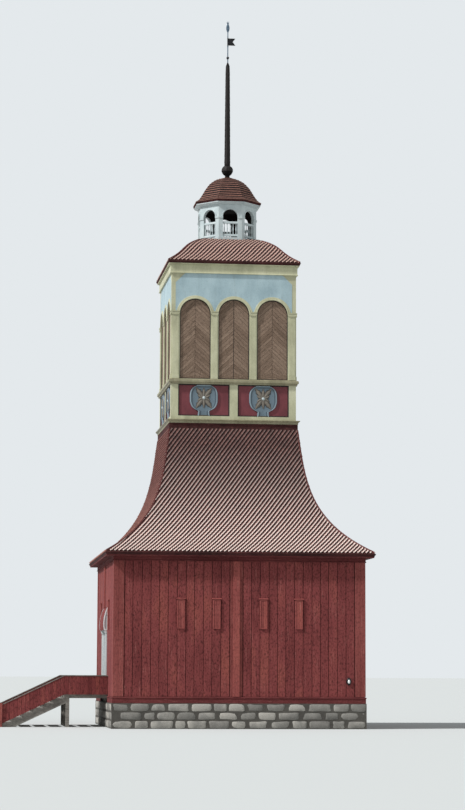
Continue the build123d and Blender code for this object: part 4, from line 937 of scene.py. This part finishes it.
# Lantern: a near black lining and ceiling inside as painted shade, archivolts, rails with turned balusters
lantern_band = [(0, 0), (0, 0.012), (0.008, 0.018), (0.036, 0.018), (0.044, 0.012), (0.044, 0)]
rail_half = [(0.030, 0.0), (0.030, 0.045), (0.022, 0.055), (0.022, 0.062), (0.014, 0.070)]
rail_profile = [(-a, b) for a, b in rail_half] + rail_half[::-1]
baluster = [(0.017, 0), (0.017, 0.045), (0.011, 0.052), (0.009, 0.07), (0.018, 0.13), (0.0195, 0.18),
            (0.014, 0.25), (0.0095, 0.295), (0.014, 0.305), (0.010, 0.315), (0.017, 0.325), (0.017, 0.365)]
lining_thickness = 0.009
lining_face = lantern_inner - 0.010
lining_end = lantern_inner * tan(pi / 8) - 0.004
lining_arch = lantern_arch + 0.002
linings, rims, rails, balusters = [], [], [], []
for turn in range(8):
    angle = turn * pi / 4
    across, out = side_axes(angle)
    linings.append(arch_field(angle, lining_face, -lining_end, lining_end, ceiling_level + 0.008, (0.0,),
                              lining_arch, lantern_spring, lining_thickness))
    for hand in (-1, 1):
        linings.append(boards_on(
            angle, hand * (lining_arch + lining_end) / 2, lining_face, lantern_foot, lining_end - lining_arch,
            lantern_spring - lantern_foot, lining_thickness, 0.001))
    rims.append(archivolt(angle, lantern_face, 0.0, lantern_arch, lantern_spring, lantern_band))
    for foot in rail_feet:
        ends = np.array([[-lantern_arch], [lantern_arch]])
        rails.append(swept(rail_profile, on_side(angle, ends, rail_line, foot), out, up))
    for place in np.linspace(-0.2, 0.2, 5):
        balusters.append(turned_piece(baluster, on_side(angle, place, rail_line, rail_feet[0] + 0.070), 10))
piece("lantern_shade_lining", linings, painted_shade_lining)
piece("lantern_archivolts", rims, shaded_white_paint)
rail_piece = piece("lantern_rail_bars", rails, shaded_white_paint)
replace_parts(rail_piece, "lantern_rails")
piece("lantern_balusters", balusters, shaded_white_paint, smooth=True)
ceiling_reach = 0.850 / cos(pi / 8)
ceiling = [(0, 0), (ceiling_reach, 0), (ceiling_reach, 0.009), (0, 0.009)]
second, first = side_axes(pi / 8)
piece("lantern_shade_ceiling", turned_piece(ceiling, up * ceiling_level, 8, first, second), painted_shade_lining)


# Entrance: boards on the hood's bowed front, its white edges, and the doors' boards and fittings
def hood_out(z):
    """The hood's reach from the wall over its height: two arcs that meet upright at the belly."""
    upper = (hood_reach**2 + (hood_top - hood_belly) ** 2) / (2 * hood_reach)
    sunk = hood_reach - hood_foot_reach
    lower = (sunk**2 + (hood_belly - hood_foot) ** 2) / (2 * sunk)
    radius = np.where(z > hood_belly, upper, lower)
    return hood_reach - radius + np.sqrt(radius**2 - (z - hood_belly) ** 2)


across, out = side_axes(pi)
z = np.linspace(hood_foot, hood_top - 0.012, 19)
bow = stacked(wall_face + hood_out(z), z)
section = np.stack([out, up])
away = (unit(np.gradient(bow, axis=0))[:, ::-1] * (1, -1)) @ section
board_count = 14
boards_reach = hood_half - 0.040
pitch = 2 * boards_reach / board_count
half = pitch / 2 - 0.0004
hood_board = [(half, -0.002), (half, 0.004), (half - 0.007, 0.012), (-half + 0.007, 0.012), (-half, 0.004),
              (-half, -0.002)]
places = (np.arange(board_count) + 0.5) * pitch - boards_reach
hood_parts = [swept(hood_board, bow @ section + place * across, across, away) for place in places]
piece("hood_boards", hood_parts, wall_red)
hood_edge = [(-0.016, -0.038), (-0.016, 0.010), (0.014, 0.014), (0.026, 0.010), (0.026, -0.001),
             (0.0, -0.001), (0.0, -0.038)]
hood_side = np.concatenate([bow, [(wall_face, hood_top), (wall_face, hood_foot)]])
edge_parts = [edged(out, hand * across, hood_half, hood_side, hood_edge) for hand in (-1, 1)]
piece("hood_edge_boards", edge_parts, door_white)

latch_inset, nail_inset = 0.085, 0.17
nail = [(0.012, 0.0), (0.012, 0.002), (0.007, 0.006), (0.002, 0.007)]
stub = [(0.010, 0.0), (0.010, 0.006), (0.006, 0.014), (0.002, 0.015)]
for name, hand in (("near", 1), ("far", -1)):
    low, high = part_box(f"door_leaf_{name}")
    face = -low[0]
    start, end = sorted([-low[1], -high[1]])
    foot, head = low[2] + 0.030, high[2] - 0.030
    boards = upright_boards(pi, face, start + 0.026, end - 0.026, foot, head, 0.145, thickness=0.010,
                            gap=0.006, vary=0.001, edge=0.003)
    board_front = face + 0.009
    fittings = []
    for nail_level in (foot + nail_inset, (foot + head) / 2, head - nail_inset):
        for place in np.linspace(start + 0.06, end - 0.06, 8):
            spot = on_side(pi, place, board_front, nail_level)
            fittings.append(turned_piece(nail, spot, 6, across, up, out))
    lock = (start if hand > 0 else end) + hand * latch_inset
    fittings.append(boards_on(pi, lock, board_front, lock_level, 0.060, 0.200, 0.006, 0.002))
    ring = ring_outline(lock, lock_level + 0.060, 0.045)
    fittings.append(edged(across, out, face + 0.015, ring, ring_outline(0.0, 0.0065, 0.006, 8)))
    spot = on_side(pi, lock, board_front, lock_level + 0.102)
    fittings.append(turned_piece(stub, spot, 8, across, up, out))
    body = f"leaf_{name}"
    piece(f"door_boards_{name}", boards, door_boards_paint, body)
    piece(f"door_fittings_{name}", fittings, black_iron, body)

# Landing boards, stair treads and the boards of the parapets
deck = level_boards(*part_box("landing_deck"), count=12)
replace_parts(piece("landing_boards", deck, planks), "landing_deck")
nosing, plank = 0.025, 0.040
steps = []
for step in range(1, riser_count):
    back = -landing_end - (step - 1) * tread
    top = floor_level - step * riser
    low = (back - tread - nosing, -landing_half, top - plank)
    steps.append(level_boards(low, (back, landing_half, top), count=2, edge=0.006))
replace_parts(piece("tread_planks", steps, planks), "stair_treads")

fence_pitch, fence_gap = 0.125, 0.008
fence = []
for hand in (-1, 1):
    for face, proud, foot in ((parapet_face, 1, -0.043), (landing_half, -1, 0.006)):
        for start, end, slope in ((-landing_end, -wall_face - 0.026, 0.0),
                                  (-stair_foot, -landing_end, riser / tread)):
            count = round((end - start) / fence_pitch)
            pitch = (end - start) / count
            place = start + (np.arange(count)[:, None] + 0.5) * pitch
            fall = slope * (place + landing_end)
            origin = place * x_axis + hand * face * y_axis + (floor_level + foot + fall) * up
            width = np.full(count, pitch - fence_gap)
            shape = board_shape(width, parapet_rise - foot, 0.011, 0.003, slope)
            fence.append(copies(shape, board_faces, origin, x_axis, up, hand * proud * y_axis))
piece("parapet_boards", fence, wall_red)

# Vane: the rod with its knob, a leaf with prongs over it, and a rim round the flag. Turned pieces
# have points (radius, height).
hub_foot, hub_top = vane_level - 0.145, vane_level + 0.145
seat, end = hub_foot - 0.0005, hub_top + 0.006
rod = [(0.019, rod_foot), (0.018, 23.185), (0.024, 23.200), (0.024, seat), (0.0115, seat),
       (0.0115, end), (0.018, end), (0.016, leaf_foot + 0.010), (0.006, leaf_foot + 0.070)]
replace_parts(piece("vane_rod_bar", turned_piece(rod, 0, 20), grey_iron), "vane_rod")
knob = [(0.020, -0.060), (0.034, -0.046), (0.045, -0.022), (0.047, 0), (0.036, 0.026), (0.020, 0.038)]
piece("vane_knob", turned_piece(knob, up * knob_level, 20), black_iron, smooth=True)
prongs = []
for base, *leaf in (
    (leaf_foot, 90, 0.345, 0.058, 0.0), (prong_foot, 90, 0.146, 0.012, 0.0),
    (prong_foot, 112, 0.140, 0.011, -0.35), (prong_foot, 68, 0.140, 0.011, 0.35),
):
    for facing in (-1, 1):
        prongs.append(blade(x_axis, facing * y_axis, up * base, *leaf, lobes=0.0, thick=0.009))
piece("vane_leaf", prongs, grey_iron, smooth=True)
flag_foot, flag_head = vane_level - vane_half, vane_level + vane_half
flag = [(0.019, flag_foot), (vane_length, flag_foot), (vane_length - vane_notch, vane_level),
        (vane_length, flag_head), (0.019, flag_head)]
flag_rim = [(0.0005, -0.006), (0.0005, 0.006), (0.009, 0.006), (0.011, 0.003), (0.011, -0.003),
            (0.009, -0.006)]
piece("vane_rim", edged(x_axis, y_axis, 0.0, flag, flag_rim), black_iron, "vane")

# Camera at the photo's place: its turn is roll about its view, then pitch, then yaw
yaw, pitch, roll = (radians(a) for a in (-6.917, 6.696, 0.237))
z_turn = np.array([[cos(yaw), sin(yaw), 0], [-sin(yaw), cos(yaw), 0], [0, 0, 1]])
x_turn = np.array([[1, 0, 0], [0, cos(pitch), sin(pitch)], [0, -sin(pitch), cos(pitch)]])
y_turn = np.array([[cos(roll), 0, sin(roll)], [0, 1, 0], [-sin(roll), 0, cos(roll)]])
right, forward, upward = y_turn @ x_turn @ z_turn
sensor, focal_pixels, frame_height = 36.0, 2303.65, 810
lens = bpy.data.cameras.new("photo_camera")
lens.sensor_width = sensor
lens.sensor_fit = "AUTO"
lens.lens = focal_pixels / frame_height * sensor
lens.clip_end = 2000.0
camera = placed("photo_camera", lens)
camera_place = (-9.113, -76.886, 1.680)
view = np.stack([right, upward, -forward, camera_place], 1)
camera.matrix_world = Matrix(view.tolist() + [[0, 0, 0, 1]])
bpy.context.scene.camera = camera

# Soft suns: strength, width in degrees, azimuth from the front towards the right, and elevation
for name, strength, width, azimuth, elevation in (
    ("key_light", 4.0, 4.0, -71.0, 43.0), ("fill_light", 0.35, 60.0, 40.0, 25.0),
):
    sun = bpy.data.lights.new(name, "SUN")
    sun.energy = strength
    sun.angle = radians(width)
    a, e = radians(azimuth), radians(elevation)
    towards = Vector((-sin(a) * cos(e), cos(a) * cos(e), -sin(e)))
    placed(name, sun).rotation_euler = towards.to_track_quat("-Z", "Y").to_euler()

# Air: soft light on the tower, and a pale background where the camera, gloss or glass sees it
world = bpy.data.worlds.new("studio_air")
bpy.context.scene.world = world
world.use_nodes = True
world.node_tree.nodes.clear()
add = partial(add_node, world.node_tree)
light = add("Background", {"Color": "#e6ebee", "Strength": 0.42})
pale = add("Background", {"Color": "#e4e9ec", "Strength": 1.0})
seen = add("LightPath", {}, "Is Camera Ray")
for ray in ("Is Glossy Ray", "Is Transmission Ray"):
    seen = add("Math", {0: seen, 1: add("LightPath", {}, ray)}, operation="MAXIMUM")
add("OutputWorld", {"Surface": add("MixShader", {0: seen, 1: light, 2: pale})})

# The pale floor
far = 3000.0
floor_mesh = bpy.data.meshes.new("studio_floor")
floor_mesh.from_pydata([(-far, -far, 0), (far, -far, 0), (far, far, 0), (-far, far, 0)], [], [(0, 1, 2, 3)])
floor_material = bpy.data.materials.new("pale_floor")
floor_material.use_nodes = True
floor_material.node_tree.nodes.clear()
add = partial(add_node, floor_material.node_tree)
add("OutputMaterial", {"Surface": add("BsdfDiffuse", {"Color": "#c9cccb"})})
floor_mesh.materials.append(floor_material)
placed("studio_floor", floor_mesh)

bpy.context.scene.view_settings.view_transform = "Standard"
